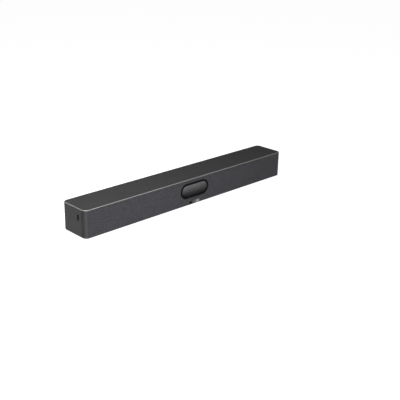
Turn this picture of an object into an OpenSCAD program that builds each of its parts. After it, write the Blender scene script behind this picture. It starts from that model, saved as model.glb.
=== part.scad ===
// Conference video bar with a cloth front and a domed, motor-driven privacy visor over its camera.
// Millimetres, +Z up. The origin is under the middle of the bar, on the surface that the feet stand on.
// The cloth front faces -Y and the bar's length runs along X.

/* [Bar] */
// Length of the bar from end to end
bar_l = 650; // [600:5:720]
// Depth of the bar from the cloth to the back
bar_d = 84; // [82:1:96]
// Height of the bar above its underside
bar_h = 66; // [65:1:76]
// Plan radius of the four upright corners
corner_r = 11.5; // [9:0.5:13]
// Bright chamfer round the top edge
edge_chamfer = 1.3; // [0.6:0.1:1.8]
// Wall of the ends and the back
wall = 2.5; // [2:0.1:3]
// Thickness of the top plate
top_wall = 2.5; // [2:0.1:3]
// Open seam between the top plate and the front frame
top_seam = 0.5; // [0.3:0.1:0.8]
// Groove between the front frame's corner and the end wall
corner_groove = 1.2; // [0.8:0.1:2]

/* [Base] */
// Visible rim of the base below the housing
base_rim = 1; // [0.8:0.1:1.5]
// Thickness of the part that plugs into the housing
base_plug = 1.5; // [1.2:0.1:2]
// Step of the base's rim behind the housing's face
base_inset = 0.8; // [0.4:0.1:1.4]
// Gap round the plug and other loose fits
fit = 0.3; // [0.2:0.05:0.4]
// Height of the rubber feet below the base
foot_lift = 1.5; // [1:0.1:3]
// Length of a foot
foot_l = 50; // [30:1:60]
// Width of a foot
foot_w = 9; // [7:0.5:11]
// Depth of the foot's recess in the base
foot_sink = 0.8; // [0.5:0.1:1]
// Foot's centre from the end of the bar
foot_from_end = 60; // [40:1:90]
// Foot's centre from the front and back faces
foot_from_edge = 16; // [15:0.5:18]

/* [Fasteners] */
// Radius of the housing screws
screw_r = 1.5; // [1.2:0.1:1.6]
// Radius of a housing screw's head
screw_head_r = 2.8; // [2.5:0.1:3]
// Height of a housing screw's head
screw_head_h = 1.8; // [1.4:0.1:2]
// Thread length above the base's pads
screw_bite = 7; // [5:0.5:9]
// Radius of the small screws on the camera and boards
small_screw_r = 1; // [0.8:0.1:1.1]
// Radius of a small screw's head
small_head_r = 1.9; // [1.6:0.1:2]
// Height of a small screw's head
small_head_h = 1.3; // [1:0.1:1.5]
// Radius of the housing's screw bosses
boss_r = 3.8; // [3.2:0.1:4.2]

/* [Cloth front] */
// Wall of the front frame
frame_t = 3.2; // [2.9:0.1:3.4]
// Bare strip of frame at each end of the cloth
side_rim = 7; // [5:0.5:10]
// Bare edge of frame above and below the cloth
edge_rim = 1.2; // [0.8:0.1:2]
// Thickness of the cloth
cloth_t = 0.8; // [0.5:0.1:0.9]
// Width of a sound slot in the frame
slot_w = 8; // [5:0.5:10]
// Width of a rib between two sound slots
slot_rib = 3; // [2:0.5:5]
// First sound slot's distance from the middle of the bar
slot_start = 84; // [82:1:100]
// Solid band of frame below the sound slots
slot_low_band = 12; // [10:0.5:14]
// Solid band of frame above the sound slots
slot_top_band = 11; // [10:0.5:14]

/* [Camera window] */
// Height of the window's centre above the underside
window_z = 37.4; // [37:0.1:38]
// Half of the window's straight stretch
window_half = 27; // [22:0.5:30]
// Radius of the window's opening
window_r = 15; // [13:0.1:15.4]
// Width of the black ring round the window
ring_w = 3.75; // [3:0.05:4.5]
// Height of the ring in front of the cloth
ring_proud = 1.2; // [0.8:0.1:1.6]
// Reach of the ring's hidden flange past the ring
flange_w = 4.75; // [3:0.05:5]
// Thickness of the hidden flange
flange_t = 1; // [0.8:0.1:1.2]

/* [Privacy visor] */
// Outer radius of the visor about its hinge line
visor_r = 30; // [29.8:0.1:30.2]
// Wall of the visor
visor_t = 1.8; // [1.4:0.1:2]
// Depth of the hinge line behind the cloth
hinge_depth = 26; // [25.6:0.1:26.4]
// Gap between the visor and the ring
visor_gap = 0.5; // [0.3:0.05:0.6]
// Half of the angle that the visor's shell spans
visor_half_angle = 33; // [32:0.5:35]
// Inner face of the visor's cheeks from the middle
cheek_x = 44; // [43.8:0.1:45]
// Thickness of a cheek
cheek_t = 2; // [1.5:0.1:2.5]
// Radius of a cheek's hub
hub_r = 7; // [5:0.5:8]
// Radius of the hinge pins
hinge_pin_r = 2; // [1.5:0.1:2.5]
// Running clearance on the hinge pins, on the radius
hinge_clear = 0.05; // [0.02:0.01:0.1]

/* [Visor drive] */
// Gear module
gear_module = 0.8; // [0.78:0.01:0.82]
// Teeth of the whole circle that the visor's sector belongs to
sector_teeth = 40; // [40:1:40]
// Teeth of the pinion
pinion_teeth = 16; // [16:1:16]
// Pressure angle of the teeth
pressure_angle = 25; // [25:1:25]
// Face width of the gears
gear_w = 3; // [2:0.1:3.5]
// Play cut from each tooth at the pitch circle
gear_play = 0.12; // [0.08:0.01:0.2]
// Radius of the motor
motor_r = 7.5; // [6:0.1:8]
// Length of the motor
motor_l = 16; // [12:0.5:24]
// Radius of the motor's shaft
shaft_r = 1; // [0.8:0.1:1.2]

/* [Camera] */
// Front of the lens panel ahead of the hinge line
panel_reach = 22; // [21:0.1:22.4]
// Thickness of the lens panel
panel_t = 2; // [1.5:0.1:2.5]
// Radius of the lens panel's ends
panel_r = 16; // [15.2:0.1:16.2]
// Radius of the lens barrel's front
barrel_r = 9; // [7.5:0.1:9.4]
// Reach of the lens barrel ahead of the panel
barrel_proud = 3.5; // [2:0.1:3.6]
// Half width of the camera housing
housing_half_w = 17; // [16:0.5:20]
// Half height of the camera housing
housing_half_h = 13; // [12.6:0.1:14]
// Wall of the camera housing
housing_t = 2; // [1.6:0.1:2.4]
// Sheet of the camera bracket
bracket_t = 2.5; // [2:0.1:3]
// Front of the bracket's wall behind the hinge line
bracket_back = 18.5; // [18:0.1:19.5]

/* [Rear sockets] */
// Width of the socket bay
bay_w = 150; // [140:1:160]
// Height of the socket bay
bay_h = 26; // [22:1:27]
// Depth of the socket bay, as a share of the room behind the camera
bay_share = 0.367; // [0.34:0.001:0.4]
// Middle of the socket bay above the underside
bay_z = 23.5; // [22.5:0.5:24]
// Sheet of the socket plate
io_t = 1.5; // [1:0.1:2]
// Main board's reach past each end of the socket bay
board_past_bay = 5; // [3:0.5:8]
// Main board's height
board_h = 37.5; // [35:0.5:38]
// Thickness of every circuit board
pcb_t = 1.6; // [1:0.1:1.8]
// Spacers before the main board, as a share of the room behind the camera
spacer_share = 0.226; // [0.2:0.001:0.25]
// Radius of the power button
button_r = 3.5; // [2.5:0.1:4]
// Travel of the power button
button_travel = 0.8; // [0.5:0.05:0.8]

/* [Side socket] */
// Height of the slot in the left end
side_slot_h = 17.5; // [16:0.5:18]
// Width of the slot in the left end
side_slot_w = 6.6; // [6.5:0.1:7.5]
// Slot's centre behind the cloth
side_slot_y = 25; // [24:0.5:27]
// Slot's centre above the underside
side_slot_z = 43.5; // [38:0.5:46]

/* [Loudspeakers] */
// Inner end of each speaker box from the middle
box_start = 170; // [168:1:180]
// Outer end of each speaker box from the bar's end
box_from_end = 27; // [26:1:36]
// Wall of a speaker box
box_t = 2.5; // [2:0.1:3]
// Radius of a driver's flange
driver_r = 26.5; // [24:0.5:27]
// Depth of a driver's basket
basket_h = 15; // [12:0.5:18]
// Radius of a driver's magnet
magnet_r = 16; // [13:0.5:18]
// Height of a driver's magnet
magnet_h = 12; // [8:0.5:16]

/* [Mountings] */
// Bore of the tripod insert, for a quarter inch thread
tripod_bore_r = 2.55; // [2.4:0.05:2.7]
// Height of the tripod insert
tripod_h = 7; // [6:0.1:7.2]
// Tripod insert's centre behind the camera bracket
tripod_off = 11; // [9:0.5:13]
// Bore of a wall bracket insert, for a 4 mm thread
insert_bore_r = 1.65; // [1.5:0.05:1.8]
// Length of a wall bracket insert
insert_l = 6; // [5:0.5:8]
// Spacing of the wall bracket inserts along the bar
insert_span_x = 200; // [190:1:210]
// Spacing of the wall bracket inserts in height
insert_span_z = 30; // [24:1:34]

/* [Hidden] */
$fn = 64;

// Overrun of every cut, snug fit of what is glued or pressed in, and slide fit of the button
over = 1;
snug = 0.02;
slide_fit = 0.1;
glue = 0.05;

// Screw heads' hexagon, round ends of slots and pads, and how far a joined block sinks into its wall
hex_share = 0.6;
round_share = 0.48;
sunk_share = 0.25;

// Colours
housing_grey = [0.30, 0.30, 0.31];
frame_grey = [0.27, 0.27, 0.28];
cloth_grey = [0.24, 0.24, 0.27];
gloss_black = [0.04, 0.04, 0.05];
visor_grey = [0.36, 0.36, 0.37];
steel_grey = [0.72, 0.73, 0.75];
board_green = [0.05, 0.25, 0.16];
brass_yellow = [0.80, 0.62, 0.30];
rubber_black = [0.07, 0.07, 0.07];
light_grey = [0.55, 0.55, 0.56];

// Main planes. The visor stands out of the front, so the housing lies back by half of that.
visor_proud = visor_r - hinge_depth;
front_y = (visor_proud - bar_d) / 2;
back_y = front_y + bar_d;
mid_y = (front_y + back_y) / 2;
back_in_y = back_y - wall;
end_x = bar_l / 2;
in_x = end_x - wall;
under_z = foot_lift;
rim_z = under_z + base_rim;
floor_z = rim_z + base_plug;
top_z = under_z + bar_h;
ceil_z = top_z - top_wall;
frame_back_y = front_y + frame_t;
frame_end_y = front_y + corner_r;
shell_y = frame_end_y + corner_groove;
frame_top_z = ceil_z - top_seam;
cloth_back = cloth_t + glue;

// Base pads and the screws that come up through them
pad_h = 2;
pad_z = floor_z + pad_h;
pad_rim = 0.8;
pad_r = boss_r + pad_rim;
sink_gap = 0.4;
sink_z = under_z + sink_gap + screw_head_h;
sink_r = screw_head_r + fit;
boss_off = 1;
boss_rib = 1.5;
boss_rib_rise = 6;
end_boss_x = in_x - fit - boss_r - boss_off;
mid_boss_x = 120;
back_boss_y = back_in_y - fit - boss_r - boss_off;
bosses = [
    for (s = [-1, 1]) [s * end_boss_x, back_boss_y],
    for (s = [-1, 1]) [s * end_boss_x, mid_y],
    for (s = [-1, 1]) [s * mid_boss_x, back_boss_y]
];

// Lugs that hold the front frame to the base
lug_w = 9;
lug_d = 8;
lug_h = 8;
lug_y = frame_back_y + lug_d / 2;
lug_from_end = 18;
lug_x = [75, 150, end_x - lug_from_end];
lugs = [for (s = [-1, 1]) for (x = lug_x) [s * x, lug_y]];
lip_t = 1.4;
lip_l = 4;
stop_h = 2.4;
stop_d = 3;

// Sound slots
slot_from_end = 18.4;
slot_end = end_x - slot_from_end;
slot_round_share = 0.25;
slot_low_z = rim_z + slot_low_band;
slot_h = frame_top_z - slot_top_band - slot_low_z;
slot_pitch = slot_w + slot_rib;
slot_count = floor((slot_end - slot_start) / slot_pitch);

// Status window at the foot of the cloth
status_h = 7.4;
ir_w = 6.5;
light_w = 23;
status_split = 3.3;
status_rim = 1.2;
status_proud = 0.2;
status_reach = frame_t + fit / 2;
status_w = ir_w + status_split + light_w;
ir_x = -status_w / 2;
light_x = ir_x + ir_w + status_split;
window_low_z = rim_z + glue;
window_top_z = window_low_z + status_h;
status_part_h = 1;
status_board_h = 8;
status_board_l = 40;
status_board_y = front_y + status_reach + status_part_h + glue;
status_post_y = status_board_y + 2 * pcb_t;
lamp_y = status_board_y - status_part_h;
lamp_share = 0.25;
status_post_w = 4;
status_post_x = 14;

// Hinge line of the visor, and the room that the visor sweeps
hinge_y = front_y + hinge_depth;
hinge_z = under_z + window_z;
sweep_r = visor_r + visor_gap;
ring_r = window_r + ring_w;
flange_r = ring_r + flange_w;
flange_back = cloth_back + flange_t;
bezel_hole_y = front_y + cloth_back + flange_t / 2;
housing_in_w = housing_half_w - housing_t;
housing_in_h = housing_half_h - housing_t;
frame_hole_rim = 2.75;
frame_hole_r = ring_r + frame_hole_rim;
ear_r = 3.5;
ear_x = 44;
ear_z = 20;
post_r = 2.2;
post_l = 1.2;
hub_step = 0.7;
side_gap = 0.3;
hub_end_x = cheek_x + cheek_t + gear_w + hub_step;
plate_x = hub_end_x + side_gap;
plate_end_x = plate_x + bracket_t;
pin_head_r = 3.5;
pin_head_t = 1.2;

// Gears. The pinion sits up and back from the hinge line.
pitch_s = gear_module * sector_teeth / 2;
pitch_p = gear_module * pinion_teeth / 2;
tooth_up_share = 0.9;
tooth_down_share = 1.2;
pinion_angle = 45;
tooth_step = 360 / sector_teeth;
sector_tooth_count = 11;
pinion_y = hinge_y + (pitch_s + pitch_p) * cos(pinion_angle);
pinion_z = hinge_z + (pitch_s + pitch_p) * sin(pinion_angle);
pinion_tip_r = pitch_p + gear_module;
flank_steps = 4;
motor_boss_r = 3;
motor_ear_r = 2.6;
motor_ear_t = 1;
motor_ear_off = 2.4;
motor_ear_reach = motor_r + motor_ear_off;
shaft_sink = 6;

// Camera bracket
bracket_y = hinge_y + bracket_back;
bracket_end_y = bracket_y + bracket_t;
standoff_h = 4;
bracket_low_z = floor_z + standoff_h;
bracket_rise = 19;
bracket_top_z = hinge_z + bracket_rise;
arm_r = 8;
motor_plate_r = 9.2;
notch_gap = 1.2;
foot_plate_x = 32;
foot_plate_d = 11;
gusset_h = 18;
gusset_d = 9;
gusset_t = 2;
gusset_x = foot_plate_x + gusset_t / 2;
foot_hole_x = 42;
foot_hole_off = 6;
foot_hole_y = bracket_end_y + foot_hole_off;
standoff_r = 4;
spacer_x = 30;
spacer_r = 3;

// Camera
panel_y = hinge_y - panel_reach;
panel_back_y = panel_y + panel_t;
wing_half = 36;
wing_half_h = 9;
wing_t = 2.5;
barrel_y = panel_y - barrel_proud;
barrel_hole = 0.25;
tube_r = 7;
tube_y = panel_back_y + housing_t;
sensor_ahead = 4;
sensor_y = hinge_y - sensor_ahead;
holder_gap = 0.85;
holder_half = housing_half_h - housing_t - holder_gap;
holder_t = 3;
bore_r = 5.5;
glass_r = 7.5;
glass_t = 1.6;
glass_set = 0.6;
dome_r = 18;
wing_round = 3;
housing_post_l = 10;
corner_post = 5;

// Main board and the sockets of the bay, whose mouths lie in the socket plate
rear_room = back_y - bracket_end_y - pcb_t;
spacer_l = spacer_share * rear_room;
board_y = bracket_end_y + spacer_l;
board_back_y = board_y + pcb_t;
board_l = bay_w + 2 * board_past_bay;
board_lift = 12.4;
board_z = under_z + board_lift;
bay_mid_z = under_z + bay_z;
bay_y = back_y - bay_share * rear_room;
bay_t = 2;
bay_flange = 2;
bay_outer_w = bay_w + 2 * bay_t;
bay_outer_h = bay_h + 2 * bay_t;
io_y = bay_y - io_t;
socket_l = bay_y - board_back_y;
deep_share = 0.83;
half_deep_share = 0.69;
shallow_share = 0.45;
spacer_edge = 3.5;
spacer_top_z = board_z + board_h - spacer_edge;
chip_h = 1.4;
chip_w = 23;
chip_tall = 21;
chip_rise = 15;
small_chip_w = 11;
small_chip_tall = 8;
small_chip_share = 0.38;
socket_gap = 0.2;
jack_share = -62 / 150;
lan_share = -43 / 150;
hdmi_shares = [-21 / 150, -1 / 150];
usb_a_share = 19 / 150;
usb_c_share = 36 / 150;
audio_share = 49 / 150;
button_share = 64 / 150;
jack_x = jack_share * bay_w;
jack_w = 9;
jack_h = 11;
jack_bore_r = 3.1;
jack_pin_r = 0.9;
lan_x = lan_share * bay_w;
lan_w = 16;
lan_h = 13.5;
spacer_low_z = bay_mid_z - lan_h / 2 - small_head_r - fit;
lan_hole_w = 11.8;
lan_hole_h = 8.4;
lan_latch_w = 6;
lan_latch_h = 2;
hdmi_x = hdmi_shares * bay_w;
hdmi_w = 15;
hdmi_h = 5.8;
hdmi_cut = 1.6;
hdmi_tongue_w = 12;
hdmi_tongue_h = 1.2;
usb_a_x = usb_a_share * bay_w;
usb_a_w = 13.4;
usb_a_h = 5.9;
usb_tongue_w = 11;
usb_tongue_h = 1.8;
usb_tongue_off = 1.1;
usb_c_x = usb_c_share * bay_w;
usb_c_w = 9;
usb_c_h = 3.3;
usb_c_tongue_w = 6.5;
usb_c_tongue_h = 0.7;
socket_t = 0.4;
audio_x = audio_share * bay_w;
audio_w = 7;
audio_r = 1.8;
button_x = button_share * bay_w;
button_proud = 0.8;
button_flange = 1;
button_flange_t = 1;
button_gap = 0.1;
switch_w = 6;
switch_h = 4;
plunger_r = 1.6;
plunger_l = 0.8;
sink_base_t = 3;
sink_h = 9.5;
sink_l = 52;
sink_fin_h = 7;
sink_fin_t = 1.5;
sink_fins = 9;
sink_off = 1.5;
sink_low_z = bay_mid_z + bay_h / 2 + bay_t + sink_off;
vent_w = 2.5;
vent_h = 12;
vent_pitch = 6;
vent_half_count = 8;
vent_off = 5;
vent_z = bay_mid_z + bay_h / 2 + bay_t + vent_off;

// Side socket
side_y = front_y + side_slot_y;
side_z = under_z + side_slot_z;
side_slot_r = 1.4;
collar_rim = 2;
collar_t = 1.5;
collar_set = 0.5;
side_mouth_set = 1;
side_mouth_x = -end_x + side_mouth_set;
side_socket_l = 14;
side_board_h = 22;
side_board_l = 19;
side_board_y = side_y + usb_a_h / 2 + snug;
rail_t = 2;
rail_l = 15;
rail_side = 1.6;

// Loudspeakers
box_end = end_x - box_from_end;
box_mid_x = (box_start + box_end) / 2;
driver_flange_t = 1.5;
surround_r = 2.4;
surround_t = 0.6;
cone_gap = 1.2;
box_y = frame_back_y + driver_flange_t + surround_t + surround_r + cone_gap;
box_back_gap = 3.5;
box_back_y = back_in_y - box_back_gap;
box_top_gap = 3;
box_top_z = ceil_z - box_top_gap;
box_mid_z = (floor_z + box_top_z) / 2;
box_r = 4;
driver_lip = 2;
driver_hole_r = driver_r - driver_lip;
cone_t = 0.7;
cone_lip = 1.4;
cone_h = 8;
cap_dish = 1.4;
coil_r = 7;
driver_screw_r = driver_hole_r + small_head_r + fit;
plate_t = 3;

// Small boards
mic_start = 62;
mic_l = 100;
mic_h = 6;
mic_t = 1.2;
mic_w = 4;
mic_tall = 3;
mic_thick = 1;
mic_port_r = 0.5;
mic_gap = 0.8;
mic_top_z = ceil_z - stop_h - mic_gap;
mic_mid_z = mic_top_z - mic_h / 2;
mic_share = [0.1, 0.5, 0.9];
antenna_x = 128;
antenna_l = 36;
antenna_h = 10;
antenna_t = 1.2;
antenna_drop = 18;
antenna_z = ceil_z - antenna_drop;

// Mounting inserts
tripod_r = 5.5;
tripod_wall = 2.5;
tripod_flange_r = 7;
tripod_flange_t = 1.2;
tripod_y = bracket_end_y + tripod_off;
insert_r = 3;
insert_set = 0.4;
insert_wall = 2;
insert_mid_z = under_z + bar_h / 2;

// Outline of a rectangle with round corners, centred
module rounded_rect(w, h, r) {
    square([w - 2 * r, h], center = true);
    square([w, h - 2 * r], center = true);
    for (x = [-1, 1], y = [-1, 1])
        translate([x * (w / 2 - r), y * (h / 2 - r)])
            circle(r);
}

// The bar's outline from above, moved in all round by the inset
module plan(inset) {
    translate([0, mid_y])
        rounded_rect(bar_l - 2 * inset, bar_d - 2 * inset, corner_r - inset);
}

// Outline with round ends about the window's centre
module pill(r) {
    square([2 * window_half, 2 * r], center = true);
    for (s = [-1, 1])
        translate([s * window_half, 0])
            circle(r);
}

// Block between two corners
module block(low, high) {
    translate(low)
        cube(high - low);
}

// Extrudes a drawing of X and Z from y0 to y1
module along_y(y0, y1) {
    translate([0, y1, 0])
        rotate([90, 0, 0])
            linear_extrude(y1 - y0)
                children();
}

// Extrudes a drawing of Y and Z from x0 to x1
module along_x(x0, x1) {
    translate([x0, 0, 0])
        rotate([90, 0, 90])
            linear_extrude(x1 - x0)
                children();
}

// Rod along Y
module rod_y(r, x, z, y0, y1) {
    along_y(y0, y1)
        translate([x, z])
            circle(r);
}

// Rod along X
module rod_x(r, y, z, x0, x1) {
    along_x(x0, x1)
        translate([y, z])
            circle(r);
}

// Screw along +Z: the head's top is at zero and the shank goes up
module screw(r, head_r, head_h, l) {
    difference() {
        union() {
            cylinder(r = head_r, h = head_h);
            cylinder(r = r, h = head_h + l);
        }
        translate([0, 0, -over])
            cylinder(r = hex_share * head_r, h = over + head_h / 2, $fn = 6);
    }
}

// Small screw driven along -Y, with its head's seat at y
module small_screw(x, y, z, l) {
    translate([x, y + small_head_h, z])
        rotate([90, 0, 0])
            screw(small_screw_r, small_head_r, small_head_h, l);
}

// Room that the visor sweeps, at the given radius about the hinge line
module capsule(r) {
    translate([0, hinge_y, hinge_z]) {
        rotate([0, 90, 0])
            cylinder(r = r, h = 2 * window_half, center = true, $fn = 120);
        for (s = [-1, 1])
            translate([s * window_half, 0, 0])
                sphere(r, $fn = 120);
    }
}

// Involute angle at radius r of a gear with base radius b, in degrees
function roll(r, b) = r <= b ? 0 : (sqrt(r * r - b * b) / b) * 180 / PI - acos(b / r);

// Half angle of a tooth at radius r
function half_tooth(r, teeth) =
    let (pitch = gear_module * teeth / 2)
    let (b = pitch * cos(pressure_angle))
    let (half = 90 / teeth - gear_play / 2 / pitch * 180 / PI)
    half + roll(pitch, b) - roll(r, b);

// Outline of one tooth about the given angle, from root to root
function tooth(a, teeth) =
    let (pitch = gear_module * teeth / 2)
    let (root = pitch - tooth_down_share * gear_module)
    let (tip = pitch + tooth_up_share * gear_module)
    let (start = max(root, pitch * cos(pressure_angle)))
    let (radii = [for (i = [0:flank_steps]) start + (tip - start) * i / flank_steps])
    concat(
        [spot(root, a - half_tooth(start, teeth))],
        [for (r = radii) spot(r, a - half_tooth(r, teeth))],
        [for (i = [flank_steps:-1:0]) spot(radii[i], a + half_tooth(radii[i], teeth))],
        [spot(root, a + half_tooth(start, teeth))]
    );

function spot(r, a) = [r * cos(a), r * sin(a)];

module top_shell() {
    color(housing_grey)
        difference() {
            union() {
                difference() {
                    shell_outside();
                    translate([0, 0, rim_z - over])
                        linear_extrude(ceil_z - rim_z + over)
                            plan(wall);
                    block(
                        [-end_x - over, front_y - over, rim_z - over],
                        [end_x + over, shell_y, ceil_z]
                    );
                }
                shell_bosses();
                frame_stops();
                for (p = insert_places())
                    insert_boss(p);
                side_rails();
            }
            for (p = bosses)
                translate([p[0], p[1], pad_z - over])
                    cylinder(r = screw_r + snug, h = screw_bite + 2 * over);
            bay_hole();
            for (p = insert_places())
                rod_y(insert_r + snug, p[0], p[1], back_y - insert_l, back_y + over);
            side_slot(-end_x - over, -in_x + over, 0);
            back_vents();
        }
}

// Outside of the housing with its chamfered top edge
module shell_outside() {
    low = top_z - edge_chamfer;
    translate([0, 0, rim_z])
        linear_extrude(low - rim_z)
            plan(0);
    flat_x = end_x - corner_r;
    flat_y = bar_d / 2 - corner_r;
    along_x(-flat_x, flat_x)
        polygon([
            [front_y, low], [back_y, low],
            [back_y - edge_chamfer, top_z], [front_y + edge_chamfer, top_z]
        ]);
    along_y(mid_y - flat_y, mid_y + flat_y)
        polygon([
            [-end_x, low], [end_x, low],
            [end_x - edge_chamfer, top_z], [-end_x + edge_chamfer, top_z]
        ]);
    for (x = [-flat_x, flat_x], y = [mid_y - flat_y, mid_y + flat_y])
        translate([x, y, low])
            cylinder(r1 = corner_r, r2 = corner_r - edge_chamfer, h = edge_chamfer);
}

// Screw bosses that hang from the top plate, each with a rib to the nearest wall
module shell_bosses() {
    for (p = bosses) {
        translate([p[0], p[1], pad_z])
            cylinder(r = boss_r, h = ceil_z - pad_z + top_wall / 2);
        if (p[1] == back_boss_y)
            block(
                [p[0] - boss_rib / 2, p[1], pad_z + boss_rib_rise],
                [p[0] + boss_rib / 2, back_in_y + wall / 2, ceil_z + top_wall / 2]
            );
        else
            block(
                [min(p[0], sign(p[0]) * (in_x + wall / 2)), p[1] - boss_rib / 2, pad_z + boss_rib_rise],
                [max(p[0], sign(p[0]) * (in_x + wall / 2)), p[1] + boss_rib / 2, ceil_z + top_wall / 2]
            );
    }
}

// Small stops under the top plate that the front frame's upper edge leans on
module frame_stops() {
    for (p = lugs)
        block(
            [p[0] - lug_w / 2, frame_back_y, ceil_z - stop_h],
            [p[0] + lug_w / 2, frame_back_y + stop_d, ceil_z + top_wall / 2]
        );
}

// Hole in the back wall for the surround of the socket bay
module bay_hole() {
    along_y(back_in_y - over, back_y + over)
        translate([0, bay_mid_z])
            square([bay_outer_w + 2 * fit, bay_outer_h + 2 * fit], center = true);
}

module insert_boss(p) {
    rod_y(insert_r + insert_wall, p[0], p[1], back_y - insert_l - insert_wall, back_in_y + wall / 2);
}

// Vent slots in the back above the socket bay
module back_vents() {
    along_y(back_in_y - over, back_y + over)
        for (i = [-vent_half_count:vent_half_count])
            translate([i * vent_pitch, vent_z + vent_h / 2])
                rounded_rect(vent_w, vent_h, round_share * vent_w);
}

function insert_places() = [
    for (x = [-1, 1], z = [-1, 1])
        [x * insert_span_x / 2, insert_mid_z + z * insert_span_z / 2]
];

// Slot in the left end, with its walls moved in by the inset
module side_slot(x0, x1, inset) {
    along_x(x0, x1)
        translate([side_y, side_z])
            rounded_rect(side_slot_w - 2 * inset, side_slot_h - 2 * inset, side_slot_r - inset);
}

// Rails inside the left end that grip the side board's upper and lower edges
module side_rails() {
    for (s = [-1, 1]) {
        z = side_z + s * (side_board_h / 2 + glue + rail_t / 2);
        block(
            [-in_x - wall / 2, side_board_y - rail_side, z - rail_t / 2],
            [-in_x + rail_l, side_board_y + pcb_t + rail_side, z + rail_t / 2]
        );
    }
}

module base_plate() {
    plug = wall + fit;
    color(frame_grey)
        difference() {
            union() {
                translate([0, 0, under_z])
                    linear_extrude(base_rim)
                        plan(base_inset);
                translate([0, 0, rim_z])
                    linear_extrude(base_plug)
                        base_plug_outline(plug);
                translate([0, 0, floor_z])
                    linear_extrude(pad_h)
                        intersection() {
                            base_plug_outline(plug);
                            union()
                                for (p = concat(bosses, lugs))
                                    translate(p)
                                        circle(pad_r);
                        }
                translate([0, tripod_y, floor_z])
                    cylinder(r = tripod_r + tripod_wall, h = under_z + tripod_h - floor_z);
                for (s = [-1, 1])
                    translate([s * foot_hole_x, foot_hole_y, floor_z])
                        cylinder(r = standoff_r, h = bracket_low_z - floor_z);
                for (s = [-1, 1])
                    block(
                        [s * status_post_x - status_post_w / 2, status_board_y + pcb_t, floor_z],
                        [s * status_post_x + status_post_w / 2, status_post_y, floor_z + status_board_h]
                    );
            }
            for (p = concat(bosses, lugs))
                translate([p[0], p[1], under_z - over]) {
                    cylinder(r = sink_r, h = over + sink_z - under_z);
                    cylinder(r = screw_r + slide_fit, h = pad_z - under_z + 2 * over);
                }
            for (p = foot_places())
                translate([p[0], p[1], under_z - over])
                    linear_extrude(over + foot_sink)
                        rounded_rect(foot_l + 2 * glue, foot_w + 2 * glue, round_share * foot_w + glue);
            translate([0, tripod_y, under_z - over])
                cylinder(r = tripod_r + snug, h = tripod_h + 2 * over);
            for (s = [-1, 1])
                translate([s * foot_hole_x, foot_hole_y, floor_z])
                    cylinder(r = small_screw_r + snug, h = standoff_h + over);
        }
}

// The base inside the housing and behind the front frame's corners
module base_plug_outline(plug) {
    intersection() {
        plan(plug);
        union() {
            plan(frame_t + fit);
            translate([-end_x, frame_end_y + fit])
                square([bar_l, bar_d]);
        }
    }
}

function foot_places() = [
    for (x = [-1, 1], y = [front_y + foot_from_edge, back_y - foot_from_edge])
        [x * (end_x - foot_from_end), y]
];

module rubber_feet() {
    color(rubber_black)
        for (p = foot_places())
            translate([p[0], p[1], 0])
                linear_extrude(under_z + foot_sink)
                    rounded_rect(foot_l, foot_w, round_share * foot_w);
}

module base_screws() {
    color(steel_grey)
        for (p = concat(bosses, lugs))
            translate([p[0], p[1], sink_z - screw_head_h])
                screw(screw_r, screw_head_r, screw_head_h, pad_z - sink_z + screw_bite);
}

module front_frame() {
    lip = wall + fit;
    color(frame_grey)
        difference() {
            union() {
                translate([0, 0, rim_z])
                    linear_extrude(frame_top_z - rim_z)
                        intersection() {
                            difference() {
                                plan(0);
                                plan(frame_t);
                            }
                            translate([-end_x - over, front_y - over])
                                square([bar_l + 2 * over, corner_r + over]);
                        }
                translate([0, 0, floor_z + fit])
                    linear_extrude(frame_top_z - floor_z - fit)
                        intersection() {
                            difference() {
                                plan(lip);
                                plan(lip + lip_t);
                            }
                            translate([-end_x, frame_end_y - lip_l])
                                square([bar_l, 2 * lip_l + corner_groove]);
                        }
                for (p = lugs)
                    block(
                        [p[0] - lug_w / 2, frame_back_y - sunk_share * frame_t, pad_z],
                        [p[0] + lug_w / 2, frame_back_y + lug_d, pad_z + lug_h]
                    );
            }
            cloth_pocket();
            for (s = [-1, 1], i = [0:slot_count - 1])
                along_y(front_y - over, frame_back_y + over)
                    translate([s * (slot_start + slot_pitch * i + slot_w / 2), slot_low_z])
                        translate([0, slot_h / 2])
                            rounded_rect(slot_w, slot_h, slot_round_share * slot_w);
            window_cut();
            for (p = lugs)
                translate([p[0], p[1], pad_z - over])
                    cylinder(r = screw_r + snug, h = over + screw_bite + fit);
            for (w = [[ir_x, ir_w], [light_x, light_w]])
                block(
                    [w[0] - glue, front_y - over, rim_z - over],
                    [w[0] + w[1] + glue, frame_back_y + over, window_top_z + glue]
                );
            for (p = mic_places(), s = [-1, 1])
                rod_y(mic_port_r, s * p, mic_top_z - mic_h / 2, front_y - over, frame_back_y + over);
        }
}

function mic_places() = [for (share = mic_share) mic_start + share * mic_l];

// Recess that the cloth fills, with an island left round the status window
module cloth_pocket() {
    difference() {
        translate([0, 0, rim_z + edge_rim])
            linear_extrude(frame_top_z - rim_z - 2 * edge_rim)
                cloth_outline(cloth_back, over);
        status_island(0);
    }
}

// The cloth from above: a skin of the given depth that follows the bar's outline
module cloth_outline(depth, outer) {
    intersection() {
        difference() {
            translate([0, outer / 2])
                plan_wide(outer);
            plan(depth);
        }
        translate([-end_x + side_rim, front_y - 2 * outer])
            square([bar_l - 2 * side_rim, corner_r + 2 * outer]);
    }
}

// The bar's outline, or a plain rectangle past it for cuts
module plan_wide(outer) {
    if (outer == 0)
        plan(0);
    else
        translate([0, mid_y])
            square([bar_l + 2 * outer, bar_d + 2 * outer], center = true);
}

// Cuts for the bezel: its flange seat, its hole and the holes for its posts
module window_cut() {
    along_y(front_y - over, front_y + flange_back)
        translate([0, hinge_z])
            flange_outline(glue);
    along_y(front_y - over, frame_back_y + over)
        translate([0, hinge_z])
            pill(frame_hole_r);
    for (p = ear_places())
        rod_y(post_r + glue, p[0], p[1], front_y, frame_back_y + over);
}

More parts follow.
